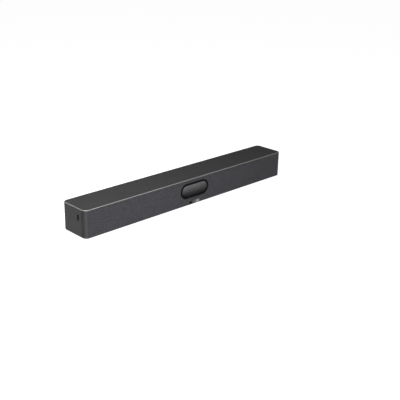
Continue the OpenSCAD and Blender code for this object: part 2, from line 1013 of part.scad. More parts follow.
module flange_outline(gap) {
    pill(flange_r + gap);
    for (p = ear_places())
        translate([p[0], p[1] - hinge_z])
            circle(ear_r + gap);
}

function ear_places() = [for (x = [-1, 1], z = [-1, 1]) [x * ear_x, hinge_z + z * ear_z]];

module grille_cloth() {
    color(cloth_grey)
        difference() {
            translate([0, 0, rim_z + edge_rim + glue])
                linear_extrude(frame_top_z - rim_z - 2 * (edge_rim + glue))
                    intersection() {
                        cloth_outline(cloth_t, 0);
                        translate([-end_x + side_rim + glue, front_y - over])
                            square([bar_l - 2 * (side_rim + glue), corner_r]);
                    }
            along_y(front_y - over, front_y + cloth_t + over)
                translate([0, hinge_z])
                    pill(ring_r + glue);
            status_island(glue);
        }
}

// Block of frame round the status window that stands flush with the cloth
module status_island(gap) {
    block(
        [ir_x - status_rim - gap, front_y - 2 * over, under_z],
        [light_x + light_w + status_rim + gap, front_y + 2 * over, window_top_z + status_rim + gap]
    );
}

module lens_bezel() {
    color(gloss_black)
        difference() {
            union() {
                along_y(front_y - ring_proud, front_y + flange_back)
                    translate([0, hinge_z])
                        pill(ring_r);
                along_y(front_y + cloth_back, front_y + flange_back)
                    translate([0, hinge_z])
                        flange_outline(0);
                for (p = ear_places())
                    rod_y(post_r, p[0], p[1], front_y + cloth_back, front_y + flange_back + post_l);
            }
            along_y(front_y - ring_proud - over, front_y + flange_back + over)
                translate([0, hinge_z])
                    pill(window_r);
            capsule(sweep_r);
            for (p = ear_places())
                rod_y(small_screw_r + snug, p[0], p[1], bezel_hole_y, frame_back_y + over);
        }
}

module bezel_screws() {
    color(steel_grey)
        for (p = ear_places())
            small_screw(p[0], frame_back_y, p[1], frame_t - cloth_back - flange_t / 2 - glue);
}

module privacy_visor() {
    outer_x = cheek_x + cheek_t;
    color(visor_grey)
        translate([0, hinge_y, hinge_z])
            rotate([90, 0, 90])
                difference() {
                    union() {
                        rotate_extrude(angle = 2 * visor_half_angle, start = 180 - visor_half_angle)
                            difference() {
                                capsule_profile(visor_r, outer_x);
                                capsule_profile(visor_r - visor_t, cheek_x);
                            }
                        for (s = [-1, 1])
                            translate([0, 0, s * (cheek_x + hub_end_x) / 2])
                                cylinder(r = hub_r, h = hub_end_x - cheek_x, center = true);
                        translate([0, 0, outer_x])
                            linear_extrude(gear_w)
                                polygon(sector_outline());
                    }
                    cylinder(r = hinge_pin_r + hinge_clear, h = 2 * (hub_end_x + over), center = true);
                }
}

// Half section of a capsule about the hinge line, cut off at the given half length
module capsule_profile(r, half) {
    intersection() {
        union() {
            translate([0, -window_half])
                square([r, 2 * window_half]);
            for (s = [-1, 1])
                translate([0, s * window_half])
                    circle(r);
        }
        translate([hinge_pin_r, -half])
            square([visor_r, 2 * half]);
    }
}

// Gear sector on the right cheek, with a gap between teeth turned to the pinion at rest
function sector_outline() =
    let (first = pinion_angle + tooth_step * (2.5 - sector_tooth_count))
    concat(
        [[0, 0]],
        [for (i = [0:sector_tooth_count - 1]) each tooth(first + tooth_step * i, sector_teeth)]
    );

module hinge_pins() {
    color(steel_grey)
        for (s = [-1, 1]) {
            tip = cheek_x - hub_step;
            rod_x(hinge_pin_r, hinge_y, hinge_z, min(s * tip, s * plate_end_x), max(s * tip, s * plate_end_x));
            head = plate_end_x + pin_head_t;
            rod_x(pin_head_r, hinge_y, hinge_z, min(s * plate_end_x, s * head), max(s * plate_end_x, s * head));
        }
}

module drive_pinion() {
    color(light_grey)
        translate([cheek_x + cheek_t, pinion_y, pinion_z])
            rotate([90, 0, 90])
                difference() {
                    linear_extrude(gear_w)
                        polygon([
                            for (i = [0:pinion_teeth - 1])
                                each tooth(pinion_angle + 180 + 360 / pinion_teeth * i, pinion_teeth)
                        ]);
                    translate([0, 0, -over])
                        cylinder(r = shaft_r + snug, h = gear_w + 2 * over);
                }
}

module motor_shaft() {
    color(steel_grey)
        rod_x(shaft_r, pinion_y, pinion_z, cheek_x + cheek_t, plate_end_x + shaft_sink);
}

module visor_motor() {
    color(steel_grey)
        difference() {
            union() {
                rod_x(motor_r, pinion_y, pinion_z, plate_end_x, plate_end_x + motor_l);
                rod_x(motor_boss_r, pinion_y, pinion_z, plate_x, plate_end_x + over);
                along_x(plate_end_x, plate_end_x + motor_ear_t)
                    translate([pinion_y, pinion_z]) {
                        square([2 * motor_ear_reach, 2 * motor_ear_r], center = true);
                        for (s = [-1, 1])
                            translate([s * motor_ear_reach, 0])
                                circle(motor_ear_r);
                    }
            }
            rod_x(shaft_r + hinge_clear, pinion_y, pinion_z, plate_x - over, plate_end_x + shaft_sink + fit);
            for (y = motor_screw_places())
                rod_x(small_screw_r + snug, y, pinion_z, plate_end_x - over, plate_end_x + motor_ear_t + over);
        }
}

function motor_screw_places() = [pinion_y - motor_ear_reach, pinion_y + motor_ear_reach];

module motor_screws() {
    color(steel_grey)
        for (y = motor_screw_places())
            translate([plate_end_x + motor_ear_t + small_head_h, y, pinion_z])
                rotate([0, -90, 0])
                    screw(small_screw_r, small_head_r, small_head_h, motor_ear_t + bracket_t);
}

module camera_bracket() {
    color(steel_grey)
        difference() {
            union() {
                block([-plate_end_x, bracket_y, bracket_low_z], [plate_end_x, bracket_end_y, bracket_top_z]);
                along_x(-plate_end_x, -plate_x)
                    bracket_arm();
                along_x(plate_x, plate_end_x) {
                    bracket_arm();
                    motor_plate();
                }
                for (s = [-1, 1]) {
                    block(
                        [min(s * foot_plate_x, s * plate_end_x), bracket_y, bracket_low_z],
                        [
                            max(s * foot_plate_x, s * plate_end_x),
                            bracket_end_y + foot_plate_d, bracket_low_z + bracket_t
                        ]
                    );
                    along_x(s * gusset_x - gusset_t / 2, s * gusset_x + gusset_t / 2)
                        polygon([
                            [bracket_y, bracket_low_z], [bracket_end_y + gusset_d, bracket_low_z],
                            [bracket_end_y + gusset_d, bracket_low_z + bracket_t],
                            [bracket_end_y, bracket_low_z + gusset_h], [bracket_y, bracket_low_z + gusset_h]
                        ]);
                }
                for (x = [-spacer_x, spacer_x], z = [spacer_low_z, spacer_top_z])
                    rod_y(spacer_r, x, z, bracket_end_y - bracket_t / 2, board_y);
            }
            notch_z = pinion_z - pinion_tip_r - notch_gap;
            block(
                [cheek_x, bracket_y - over, notch_z],
                [plate_x, bracket_end_y + over, bracket_top_z + over]
            );
            rod_x(hinge_pin_r + snug, hinge_y, hinge_z, -plate_end_x - over, plate_end_x + over);
            rod_x(motor_boss_r + glue, pinion_y, pinion_z, plate_x - over, plate_end_x + over);
            for (y = motor_screw_places())
                rod_x(small_screw_r + snug, y, pinion_z, plate_x - over, plate_end_x + over);
            for (s = [-1, 1])
                translate([s * foot_hole_x, foot_hole_y, bracket_low_z - over])
                    cylinder(r = small_screw_r + snug, h = bracket_t + 2 * over);
            for (x = [-spacer_x, spacer_x], z = [spacer_low_z, spacer_top_z])
                rod_y(small_screw_r + snug, x, z, board_y - spacer_l / 2, board_y + over);
            for (p = housing_screw_places())
                rod_y(small_screw_r + snug, p[0], p[1], bracket_y - over, bracket_end_y + over);
        }
}

// Side arm of the bracket that carries a hinge pin
module bracket_arm() {
    translate([hinge_y, hinge_z])
        circle(arm_r);
    translate([hinge_y, hinge_z - arm_r])
        square([bracket_end_y - hinge_y, 2 * arm_r]);
}

// The right arm's extension that carries the motor
module motor_plate() {
    translate([pinion_y, pinion_z])
        circle(motor_plate_r);
    translate([pinion_y - motor_ear_reach, pinion_z])
        circle(motor_ear_r);
    translate([pinion_y + motor_ear_reach, pinion_z])
        circle(motor_ear_r);
    translate([pinion_y - motor_ear_reach, hinge_z])
        square([bracket_end_y - pinion_y + motor_ear_reach, pinion_z - hinge_z]);
}

function housing_screw_places() = [
    for (x = [-1, 1], z = [-1, 1])
        [x * (housing_half_w - corner_post / 2), hinge_z + z * (housing_half_h - corner_post / 2)]
];

module camera_screws() {
    color(steel_grey) {
        for (p = housing_screw_places())
            small_screw(p[0], bracket_end_y, p[1], bracket_t + corner_post);
        for (s = [-1, 1])
            translate([s * foot_hole_x, foot_hole_y, bracket_low_z + bracket_t + small_head_h])
                rotate([180, 0, 0])
                    screw(small_screw_r, small_head_r, small_head_h, bracket_t + bracket_low_z - floor_z);
    }
}

module camera_housing() {
    color(gloss_black)
        difference() {
            union() {
                along_y(panel_back_y, bracket_y)
                    translate([0, hinge_z])
                        square([2 * housing_half_w, 2 * housing_half_h], center = true);
                along_y(panel_back_y, panel_back_y + wing_t)
                    translate([0, hinge_z])
                        rounded_rect(2 * wing_half, 2 * wing_half_h, wing_round);
            }
            along_y(panel_back_y + housing_t, bracket_y + over)
                translate([0, hinge_z])
                    difference() {
                        square([2 * housing_in_w, 2 * housing_in_h], center = true);
                        housing_posts();
                    }
            along_y(sensor_y + pcb_t, bracket_y - housing_post_l)
                translate([0, hinge_z])
                    square([2 * housing_in_w, 2 * housing_in_h], center = true);
            rod_y(barrel_r + barrel_hole, 0, hinge_z, panel_back_y - over, tube_y + over);
            for (p = housing_screw_places())
                rod_y(small_screw_r + snug, p[0], p[1], bracket_y - corner_post - fit, bracket_y + over);
            along_y(sensor_y, sensor_y + pcb_t)
                translate([0, hinge_z])
                    square([2 * housing_in_w, 2 * housing_in_h], center = true);
            along_y(panel_back_y + housing_t, sensor_y)
                translate([0, hinge_z])
                    square([2 * (holder_half + glue), 2 * housing_in_h], center = true);
        }
}

// Corner posts inside the camera housing, drawn about its middle
module housing_posts() {
    for (x = [-1, 1], z = [-1, 1])
        translate([x * (housing_half_w - corner_post / 2), z * (housing_half_h - corner_post / 2)])
            square(corner_post, center = true);
}

module lens_panel() {
    color(gloss_black)
        difference() {
            along_y(panel_y, panel_back_y)
                translate([0, hinge_z])
                    pill(panel_r);
            rod_y(barrel_r + barrel_hole, 0, hinge_z, panel_y - over, panel_back_y + over);
        }
}

module lens_barrel() {
    color([0.10, 0.10, 0.11])
        difference() {
            union() {
                rod_y(barrel_r, 0, hinge_z, barrel_y, tube_y);
                rod_y(tube_r, 0, hinge_z, barrel_y, sensor_y);
                along_y(sensor_y - holder_t, sensor_y)
                    translate([0, hinge_z])
                        square(2 * holder_half, center = true);
            }
            rod_y(bore_r, 0, hinge_z, barrel_y - over, sensor_y - holder_t / 2);
            rod_y(glass_r + snug, 0, hinge_z, barrel_y - over, barrel_y + glass_set + glass_t);
        }
}

module lens_glass() {
    color([0.16, 0.20, 0.30])
        translate([0, barrel_y, hinge_z])
            rotate([-90, 0, 0])
                rotate_extrude()
                    intersection() {
                        square([glass_r, glass_set + glass_t]);
                        translate([0, dome_r])
                            circle(dome_r, $fn = 180);
                    }
}

module sensor_board() {
    color(board_green) {
        along_y(sensor_y, sensor_y + pcb_t)
            translate([0, hinge_z])
                square([2 * (housing_in_w - glue), 2 * (housing_in_h - glue)], center = true);
        along_y(sensor_y + pcb_t, sensor_y + pcb_t + chip_h)
            translate([0, hinge_z])
                square([housing_in_w, housing_in_h], center = true);
    }
}

module main_board() {
    color(board_green)
        difference() {
            union() {
                block([-board_l / 2, board_y, board_z], [board_l / 2, board_back_y, board_z + board_h]);
                chip(0, chip_w, chip_tall);
                for (s = [-1, 1])
                    chip(s * small_chip_share * board_l, small_chip_w, small_chip_tall);
            }
            for (x = [-spacer_x, spacer_x], z = [spacer_low_z, spacer_top_z])
                rod_y(small_screw_r + snug, x, z, board_y - over, board_back_y + over);
        }
}

// Chip on the front of the main board
module chip(x, w, tall) {
    block([x - w / 2, board_y - chip_h, board_z + chip_rise], [x + w / 2, board_y, board_z + chip_rise + tall]);
}

module board_screws() {
    color(steel_grey)
        for (x = [-spacer_x, spacer_x], z = [spacer_low_z, spacer_top_z])
            small_screw(x, board_back_y, z, pcb_t + spacer_l / 2 - fit);
}

module heat_sink() {
    color([0.62, 0.63, 0.65]) {
        block(
            [-sink_l / 2, board_back_y, sink_low_z],
            [sink_l / 2, board_back_y + sink_base_t, sink_low_z + sink_h]
        );
        for (i = [0:sink_fins - 1]) {
            x = -sink_l / 2 + sink_fin_t / 2 + i * (sink_l - sink_fin_t) / (sink_fins - 1);
            block(
                [x - sink_fin_t / 2, board_back_y + sink_base_t / 2, sink_low_z],
                [x + sink_fin_t / 2, board_back_y + sink_base_t + sink_fin_h, sink_low_z + sink_h]
            );
        }
    }
}

// Four walls round the socket bay, with a flange behind the back wall
module bay_surround() {
    color(gloss_black)
        difference() {
            union() {
                along_y(bay_y, back_y)
                    translate([0, bay_mid_z])
                        square([bay_outer_w, bay_outer_h], center = true);
                along_y(back_in_y - bay_flange, back_in_y)
                    translate([0, bay_mid_z])
                        square([bay_outer_w + 2 * bay_flange, bay_outer_h + 2 * bay_flange], center = true);
            }
            along_y(bay_y - over, back_y + over)
                translate([0, bay_mid_z])
                    square([bay_w, bay_h], center = true);
        }
}

module io_plate() {
    color(gloss_black)
        difference() {
            along_y(io_y, bay_y)
                translate([0, bay_mid_z])
                    square([bay_outer_w, bay_outer_h], center = true);
            along_y(io_y - over, bay_y + over)
                translate([0, bay_mid_z])
                    socket_holes();
        }
}

module socket_holes() {
    gap = 2 * socket_gap;
    at_x(jack_x)
        square([jack_w + gap, jack_h + gap], center = true);
    at_x(lan_x)
        square([lan_w + gap, lan_h + gap], center = true);
    for (x = hdmi_x)
        at_x(x)
            square([hdmi_w + gap, hdmi_h + gap], center = true);
    at_x(usb_a_x)
        square([usb_a_w + gap, usb_a_h + gap], center = true);
    at_x(usb_c_x)
        square([usb_c_w + gap, usb_c_h + gap], center = true);
    at_x(audio_x)
        square([audio_w + gap, audio_w + gap], center = true);
    at_x(button_x)
        circle(button_r + slide_fit);
}

module at_x(x) {
    translate([x, 0])
        children();
}

// A socket on the main board: its body, its mouth's outline, and the tongue or pin in the mouth
module socket(x, depth_share) {
    floor_y = bay_y - depth_share * socket_l;
    translate([x, 0, bay_mid_z]) {
        difference() {
            along_y(board_back_y, bay_y)
                children(0);
            along_y(floor_y, bay_y + over)
                children(1);
        }
        if ($children > 2)
            along_y(floor_y - over, bay_y - over)
                children(2);
    }
}

module power_inlet() {
    color(gloss_black)
        socket(jack_x, half_deep_share) {
            square([jack_w, jack_h], center = true);
            circle(jack_bore_r);
            circle(jack_pin_r);
        }
}

module lan_socket() {
    color(steel_grey)
        socket(lan_x, deep_share) {
            square([lan_w, lan_h], center = true);
            union() {
                square([lan_hole_w, lan_hole_h], center = true);
                translate([0, -lan_hole_h / 2])
                    square([lan_latch_w, 2 * lan_latch_h], center = true);
            }
        }
}

module hdmi_sockets() {
    color(steel_grey)
        for (x = hdmi_x)
            socket(x, half_deep_share) {
                hdmi_outline(0);
                hdmi_outline(socket_t);
                square([hdmi_tongue_w, hdmi_tongue_h], center = true);
            }
}

module hdmi_outline(t) {
    w = hdmi_w / 2 - t;
    h = hdmi_h / 2 - t;
    polygon([
        [-w, h], [w, h], [w, -h + hdmi_cut],
        [w - hdmi_cut, -h], [-w + hdmi_cut, -h], [-w, -h + hdmi_cut]
    ]);
}

module usb_a_socket() {
    color(steel_grey)
        socket(usb_a_x, deep_share) {
            square([usb_a_w, usb_a_h], center = true);
            square([usb_a_w - 2 * socket_t, usb_a_h - 2 * socket_t], center = true);
            translate([0, usb_tongue_off])
                square([usb_tongue_w, usb_tongue_h], center = true);
        }
}

module usb_c_socket() {
    round_r = round_share * usb_c_h;
    color(steel_grey)
        socket(usb_c_x, shallow_share) {
            rounded_rect(usb_c_w, usb_c_h, round_r);
            rounded_rect(usb_c_w - 2 * socket_t, usb_c_h - 2 * socket_t, round_r - socket_t);
            square([usb_c_tongue_w, usb_c_tongue_h], center = true);
        }
}

module audio_socket() {
    color(gloss_black)
        socket(audio_x, deep_share) {
            square(audio_w, center = true);
            circle(audio_r);
        }
}

module power_switch() {
    color(gloss_black) {
        along_y(board_back_y, board_back_y + switch_h)
            translate([button_x, bay_mid_z])
                square(switch_w, center = true);
        rod_y(plunger_r, button_x, bay_mid_z, board_back_y + switch_h / 2, switch_end_y());
    }
}

function switch_end_y() = board_back_y + switch_h + plunger_l;

module power_button() {
    color(light_grey) {
        rod_y(button_r, button_x, bay_mid_z, switch_end_y() + button_travel + button_gap, bay_y + button_proud);
        rod_y(
            button_r + button_flange, button_x, bay_mid_z,
            io_y - button_gap - button_flange_t, io_y - button_gap
        );
    }
}

module side_usb_collar() {
    color(gloss_black)
        difference() {
            union() {
                side_slot(-end_x + collar_set, -in_x + collar_t / 2, glue);
                side_slot(-in_x, -in_x + collar_t, -collar_rim);
            }
            along_x(-end_x, 0)
                translate([side_y, side_z])
                    square([usb_a_h + 2 * glue, usb_a_w + 2 * glue], center = true);
        }
}

module side_usb_socket() {
    floor_x = side_mouth_x + deep_share * side_socket_l;
    color(steel_grey) {
        difference() {
            along_x(side_mouth_x, side_mouth_x + side_socket_l)
                translate([side_y, side_z])
                    square([usb_a_h, usb_a_w], center = true);
            along_x(side_mouth_x - over, floor_x)
                translate([side_y, side_z])
                    square([usb_a_h - 2 * socket_t, usb_a_w - 2 * socket_t], center = true);
        }
        along_x(side_mouth_x + over, floor_x + over)
            translate([side_y + usb_tongue_off, side_z])
                square([usb_tongue_h, usb_tongue_w], center = true);
    }
}

module side_usb_board() {
    color(board_green)
        block(
            [-in_x + collar_t + glue, side_board_y, side_z - side_board_h / 2],
            [-in_x + collar_t + side_board_l, side_board_y + pcb_t, side_z + side_board_h / 2]
        );
}

// One loudspeaker box on the right, mirrored for the left
module speaker_box() {
    color(gloss_black)
        difference() {
            box_solid(0);
            box_solid(box_t);
            rod_y(driver_hole_r, box_mid_x, box_mid_z, box_y - over, box_y + box_t + over);
            for (p = driver_screw_places())
                rod_y(small_screw_r + snug, p[0], p[1], box_y - over, box_y + box_t + over);
        }
}

module box_solid(inset) {
    translate([box_mid_x, (box_y + box_back_y) / 2, floor_z + inset])
        linear_extrude(box_top_z - floor_z - 2 * inset)
            rounded_rect(box_end - box_start - 2 * inset, box_back_y - box_y - 2 * inset, box_r - inset);
}

function driver_screw_places() = [
    for (a = [45:90:315])
        [box_mid_x + driver_screw_r * cos(a), box_mid_z + driver_screw_r * sin(a)]
];

module speaker_box_left() {
    mirror([1, 0, 0])
        speaker_box();
}

module speaker_box_right() {
    speaker_box();
}

// Turns a drawing of radius and depth about the driver's axis, with depth running to the back
module driver_turn() {
    translate([box_mid_x, box_y, box_mid_z])
        rotate([-90, 0, 0])
            rotate_extrude()
                children();
}

// Flange and basket of a driver
module driver_frame() {
    color([0.16, 0.16, 0.17])
        difference() {
            union() {
                driver_turn()
                    polygon([
                        [driver_hole_r - surround_r, -driver_flange_t], [driver_r, -driver_flange_t],
                        [driver_r, 0], [driver_hole_r - fit, 0], [driver_hole_r - fit, box_t], [magnet_r, basket_h],
                        [coil_r + cone_t + fit, basket_h], [coil_r + cone_t + fit, basket_h - box_t / 2],
                        [magnet_r - box_t / 2, basket_h - box_t / 2], [driver_hole_r - surround_r, box_t / 2]
                    ]);
                for (p = driver_screw_places())
                    rod_y(small_head_r, p[0], p[1], box_y - driver_flange_t, box_y);
            }
            for (p = driver_screw_places())
                rod_y(small_screw_r + snug, p[0], p[1], box_y - driver_flange_t - over, box_y + over);
        }
}

module driver_frame_left() {
    mirror([1, 0, 0])
        driver_frame();
}

module driver_frame_right() {
    driver_frame();
}

// Surround, cone and dust cap of a driver, with the coil former behind
module driver_cone() {
    lip_r = driver_hole_r;
    roll_r = lip_r - cone_lip - surround_r;
    neck = roll_r - surround_r;
    front = -driver_flange_t;
    color([0.12, 0.12, 0.12])
        driver_turn() {
            translate([lip_r - cone_lip - cone_t / 2, front - surround_t])
                square([cone_lip + cone_t / 2, surround_t]);
            translate([roll_r, front - surround_t])
                intersection() {
                    difference() {
                        circle(surround_r);
                        circle(surround_r - surround_t);
                    }
                    translate([-surround_r, -surround_r])
                        square([2 * surround_r, surround_r + surround_t / 2]);
                }
            polygon([
                [neck - cone_t, front - surround_t], [neck + surround_t, front - surround_t],
                [neck + surround_t, front], [coil_r + cone_t, cone_h + cone_t],
                [coil_r, cone_h + cone_t], [coil_r, cone_h]
            ]);
            polygon([
                [coil_r, cone_h - cone_t], [coil_r + cone_t, cone_h - cone_t],
                [coil_r + cone_t, basket_h - cone_t], [coil_r, basket_h - cone_t]
            ]);
            polygon([
                [0, cone_h - cap_dish - cone_t], [coil_r + cone_t, cone_h - cone_t],
                [coil_r + cone_t, cone_h], [0, cone_h - cap_dish]
            ]);
        }
}

module driver_cone_left() {
    mirror([1, 0, 0])
        driver_cone();
}

module driver_cone_right() {
    driver_cone();
}

// Magnet with its two plates
module driver_magnet() {
    color([0.33, 0.33, 0.35])
        driver_turn()
            polygon([
                [0, basket_h], [magnet_r - plate_t / 2, basket_h], [magnet_r - plate_t / 2, basket_h + plate_t],
                [magnet_r, basket_h + plate_t], [magnet_r, basket_h + magnet_h], [0, basket_h + magnet_h]
            ]);
}

module driver_magnet_left() {
    mirror([1, 0, 0])
        driver_magnet();
}

module driver_magnet_right() {
    driver_magnet();
}

module driver_screws() {
    color(steel_grey)
        for (s = [-1, 1], p = driver_screw_places())
            translate([s * p[0], box_y - driver_flange_t - small_head_h, p[1]])
                rotate([-90, 0, 0])
                    screw(small_screw_r, small_head_r, small_head_h, driver_flange_t + box_t);
}

// Microphone strip behind the frame's upper band, with its microphones facing the ports
module mic_board() {
    color(board_green)
        difference() {
            union() {
                block(
                    [mic_start, frame_back_y, mic_top_z - mic_h],
                    [mic_start + mic_l, frame_back_y + mic_t, mic_top_z]
                );
                for (x = mic_places())
                    block(
                        [x - mic_w / 2, frame_back_y + mic_t, mic_mid_z - mic_tall / 2],
                        [x + mic_w / 2, frame_back_y + mic_t + mic_thick, mic_mid_z + mic_tall / 2]
                    );
            }
            for (x = mic_places())
                rod_y(mic_port_r, x, mic_mid_z, frame_back_y - over, frame_back_y + mic_t + mic_thick / 2);
        }
}

module mic_board_left() {
    mirror([1, 0, 0])
        mic_board();
}

module mic_board_right() {
    mic_board();
}

module antenna() {
    color(board_green)
        block(
            [antenna_x, back_in_y - antenna_t, antenna_z],
            [antenna_x + antenna_l, back_in_y, antenna_z + antenna_h]
        );
}

module antenna_left() {
    mirror([1, 0, 0])
        antenna();
}

module antenna_right() {
    antenna();
}

// Board with the infrared receiver and the lamps of the status light
module status_board() {
    color(board_green) {
        block(
            [-status_board_l / 2, status_board_y, floor_z],
            [status_board_l / 2, status_board_y + pcb_t, floor_z + status_board_h]
        );
        for (w = [[ir_x, ir_w], [light_x, light_w]])
            block(
                [w[0] + lamp_share * w[1], lamp_y, floor_z + lamp_share * status_board_h],
                [w[0] + w[1] - lamp_share * w[1], status_board_y, floor_z + status_board_h / 2]
            );
    }
}

module status_part(x, w) {
    block([x, front_y - status_proud, window_low_z], [x + w, front_y + status_reach, window_top_z]);
}

module ir_window() {
    color(gloss_black)
        status_part(ir_x, ir_w);
}

module status_light() {
    color(light_grey)
        status_part(light_x, light_w);
}

module tripod_insert() {
    color(brass_yellow)
        translate([0, tripod_y, under_z])
            difference() {
                union() {
                    translate([0, 0, insert_set])
                        cylinder(r = tripod_r, h = tripod_h + tripod_flange_t - insert_set);
                    translate([0, 0, tripod_h])
                        cylinder(r = tripod_flange_r, h = tripod_flange_t);
                }
                translate([0, 0, -over])
                    cylinder(r = tripod_bore_r, h = tripod_h + tripod_flange_t + 2 * over);
            }
}

module wall_inserts() {
    color(brass_yellow)
        for (p = insert_places())
            difference() {
                rod_y(insert_r, p[0], p[1], back_y - insert_l, back_y - insert_set);
                rod_y(insert_bore_r, p[0], p[1], back_y - insert_l - over, back_y + over);
            }
}

top_shell();
base_plate();
front_frame();
grille_cloth();
lens_bezel();
bezel_screws();
privacy_visor();
hinge_pins();
camera_bracket();
camera_screws();
visor_motor();
motor_screws();
motor_shaft();
drive_pinion();
lens_panel();
camera_housing();
lens_barrel();
lens_glass();
sensor_board();
main_board();
board_screws();
heat_sink();
bay_surround();
io_plate();
power_inlet();
lan_socket();
hdmi_sockets();
usb_a_socket();
usb_c_socket();
audio_socket();
power_button();
power_switch();
side_usb_collar();
side_usb_socket();
side_usb_board();
speaker_box_left();
speaker_box_right();
driver_frame_left();
driver_frame_right();
driver_cone_left();
driver_cone_right();
driver_magnet_left();
driver_magnet_right();
driver_screws();
mic_board_left();
mic_board_right();
antenna_left();
antenna_right();
status_board();
ir_window();
status_light();
rubber_feet();
base_screws();
tripod_insert();
wall_inserts();
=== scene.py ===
"""Finishes, small parts, light and camera for the conference camera bar.

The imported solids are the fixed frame. This script gives every solid its finish, puts a sheet of cloth in the
place of the soft front solid, adds the small parts that the solids leave out, lights the bar on a plain pale
floor and sets the camera at the photograph's angle.
"""

from __future__ import annotations

import logging
import math
import random
from dataclasses import dataclass
from enum import Enum
from typing import Sequence

import bmesh
import bpy
from mathutils import Matrix, Vector

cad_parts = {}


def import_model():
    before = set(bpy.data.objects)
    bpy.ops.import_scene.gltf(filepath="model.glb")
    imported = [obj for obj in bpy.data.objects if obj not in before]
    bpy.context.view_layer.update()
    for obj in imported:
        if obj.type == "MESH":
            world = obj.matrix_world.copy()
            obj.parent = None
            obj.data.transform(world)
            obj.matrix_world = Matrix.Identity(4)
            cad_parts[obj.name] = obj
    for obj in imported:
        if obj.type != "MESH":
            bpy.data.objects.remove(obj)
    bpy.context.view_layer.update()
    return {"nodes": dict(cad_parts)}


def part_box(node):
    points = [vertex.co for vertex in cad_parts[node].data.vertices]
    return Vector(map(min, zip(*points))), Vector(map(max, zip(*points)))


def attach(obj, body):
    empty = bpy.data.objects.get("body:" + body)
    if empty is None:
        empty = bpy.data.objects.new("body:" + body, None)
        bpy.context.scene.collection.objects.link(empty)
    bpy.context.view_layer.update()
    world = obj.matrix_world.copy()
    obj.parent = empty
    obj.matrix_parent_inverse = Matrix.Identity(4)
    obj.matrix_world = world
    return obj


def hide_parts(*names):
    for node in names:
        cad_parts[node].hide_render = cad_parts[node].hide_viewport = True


MM = 0.001
LOG = logging.getLogger("bar")
WHITE_LIGHT = (1.0, 1.0, 1.0, 1.0)

Colour = tuple[float, float, float]
Point = tuple[float, float, float]
Pair = tuple[float, float]
Mesh = bmesh.types.BMesh
Node = bpy.types.Node
Socket = bpy.types.NodeSocket
Tree = bpy.types.NodeTree


class Pattern(Enum):
    """How a finish breaks up its surface."""

    PAINT = "paint"
    MOULDED = "moulded"
    GLOSS = "gloss"
    BRUSHED = "brushed"
    TURNED = "turned"
    WOVEN = "woven"
    BOARD = "board"
    RUBBER = "rubber"
    GLASS = "glass"
    FROSTED = "frosted"


@dataclass(frozen=True)
class Finish:
    """One finish: its colour, its gloss and the pattern that breaks it up.

    Colours are linear. Lengths are in millimetres.
    """

    name: str
    colour: Colour
    pattern: Pattern
    roughness: float = 0.5
    metallic: float = 0.0
    specular: float = 0.5
    coat: float = 0.0
    grain_mm: float = 0.5
    relief_mm: float = 0.01
    shade: float = 0.12
    spread: float = 0.08


HOUSING = Finish("housing_paint", (0.0495, 0.0495, 0.050), Pattern.PAINT, 0.5, specular=0.2, grain_mm=0.35)
BASE = Finish("base_moulding", (0.040, 0.040, 0.042), Pattern.MOULDED, 0.6, grain_mm=0.6, relief_mm=0.03)
FRAME = Finish("frame_moulding", (0.071, 0.071, 0.073), Pattern.MOULDED, 0.5, specular=0.2, grain_mm=0.4)
CLOTH = Finish("front_cloth", (0.0625, 0.0607, 0.0722), Pattern.WOVEN, 0.85, specular=0.25, grain_mm=0.8,
               relief_mm=0.12)
GLOSS_BLACK = Finish("gloss_black", (0.003, 0.003, 0.0035), Pattern.GLOSS, 0.22, specular=0.05,
                     relief_mm=0.002)
VISOR = Finish("visor_shell", (0.165, 0.166, 0.169), Pattern.GLOSS, 0.32, specular=0.06, relief_mm=0.002)
BLACK = Finish("black_moulding", (0.012, 0.012, 0.013), Pattern.MOULDED, 0.5, grain_mm=0.4, relief_mm=0.015)
LENS_BLACK = Finish("lens_black", (0.010, 0.010, 0.011), Pattern.TURNED, 0.38, grain_mm=0.25)
WHITE = Finish("white_moulding", (0.70, 0.70, 0.66), Pattern.MOULDED, 0.42, grain_mm=0.5)
BUTTON = Finish("button_moulding", (0.10, 0.10, 0.105), Pattern.MOULDED, 0.38, grain_mm=0.3, relief_mm=0.008)
STEEL = Finish("plated_steel", (0.60, 0.60, 0.58), Pattern.TURNED, 0.28, metallic=1.0, grain_mm=0.2,
               relief_mm=0.004)
SHEET = Finish("plated_sheet", (0.58, 0.59, 0.60), Pattern.BRUSHED, 0.36, metallic=1.0, grain_mm=0.25,
               relief_mm=0.006)
CAN = Finish("motor_can", (0.52, 0.52, 0.53), Pattern.TURNED, 0.32, metallic=1.0, grain_mm=0.3,
             relief_mm=0.006)
SOCKET = Finish("socket_shell", (0.55, 0.55, 0.56), Pattern.BRUSHED, 0.30, metallic=1.0, grain_mm=0.15,
                relief_mm=0.004)
DARK_SOCKET = Finish("dark_socket_shell", (0.045, 0.045, 0.047), Pattern.BRUSHED, 0.4, metallic=0.8,
                     grain_mm=0.15, relief_mm=0.004)
ALUMINIUM = Finish("extruded_aluminium", (0.55, 0.56, 0.58), Pattern.BRUSHED, 0.40, metallic=1.0,
                   grain_mm=0.3)
BASKET = Finish("basket_paint", (0.020, 0.020, 0.021), Pattern.PAINT, 0.48, relief_mm=0.02)
CONE = Finish("cone_pulp", (0.016, 0.016, 0.017), Pattern.RUBBER, 0.72, relief_mm=0.04)
MAGNET = Finish("magnet_ferrite", (0.055, 0.055, 0.060), Pattern.TURNED, 0.55, grain_mm=0.6, relief_mm=0.03)
BOARD = Finish("board_mask", (0.010, 0.075, 0.040), Pattern.BOARD, 0.32, coat=0.3, grain_mm=1.2,
               relief_mm=0.02)
RUBBER = Finish("foot_rubber", (0.018, 0.018, 0.018), Pattern.RUBBER, 0.82, specular=0.35, relief_mm=0.05)
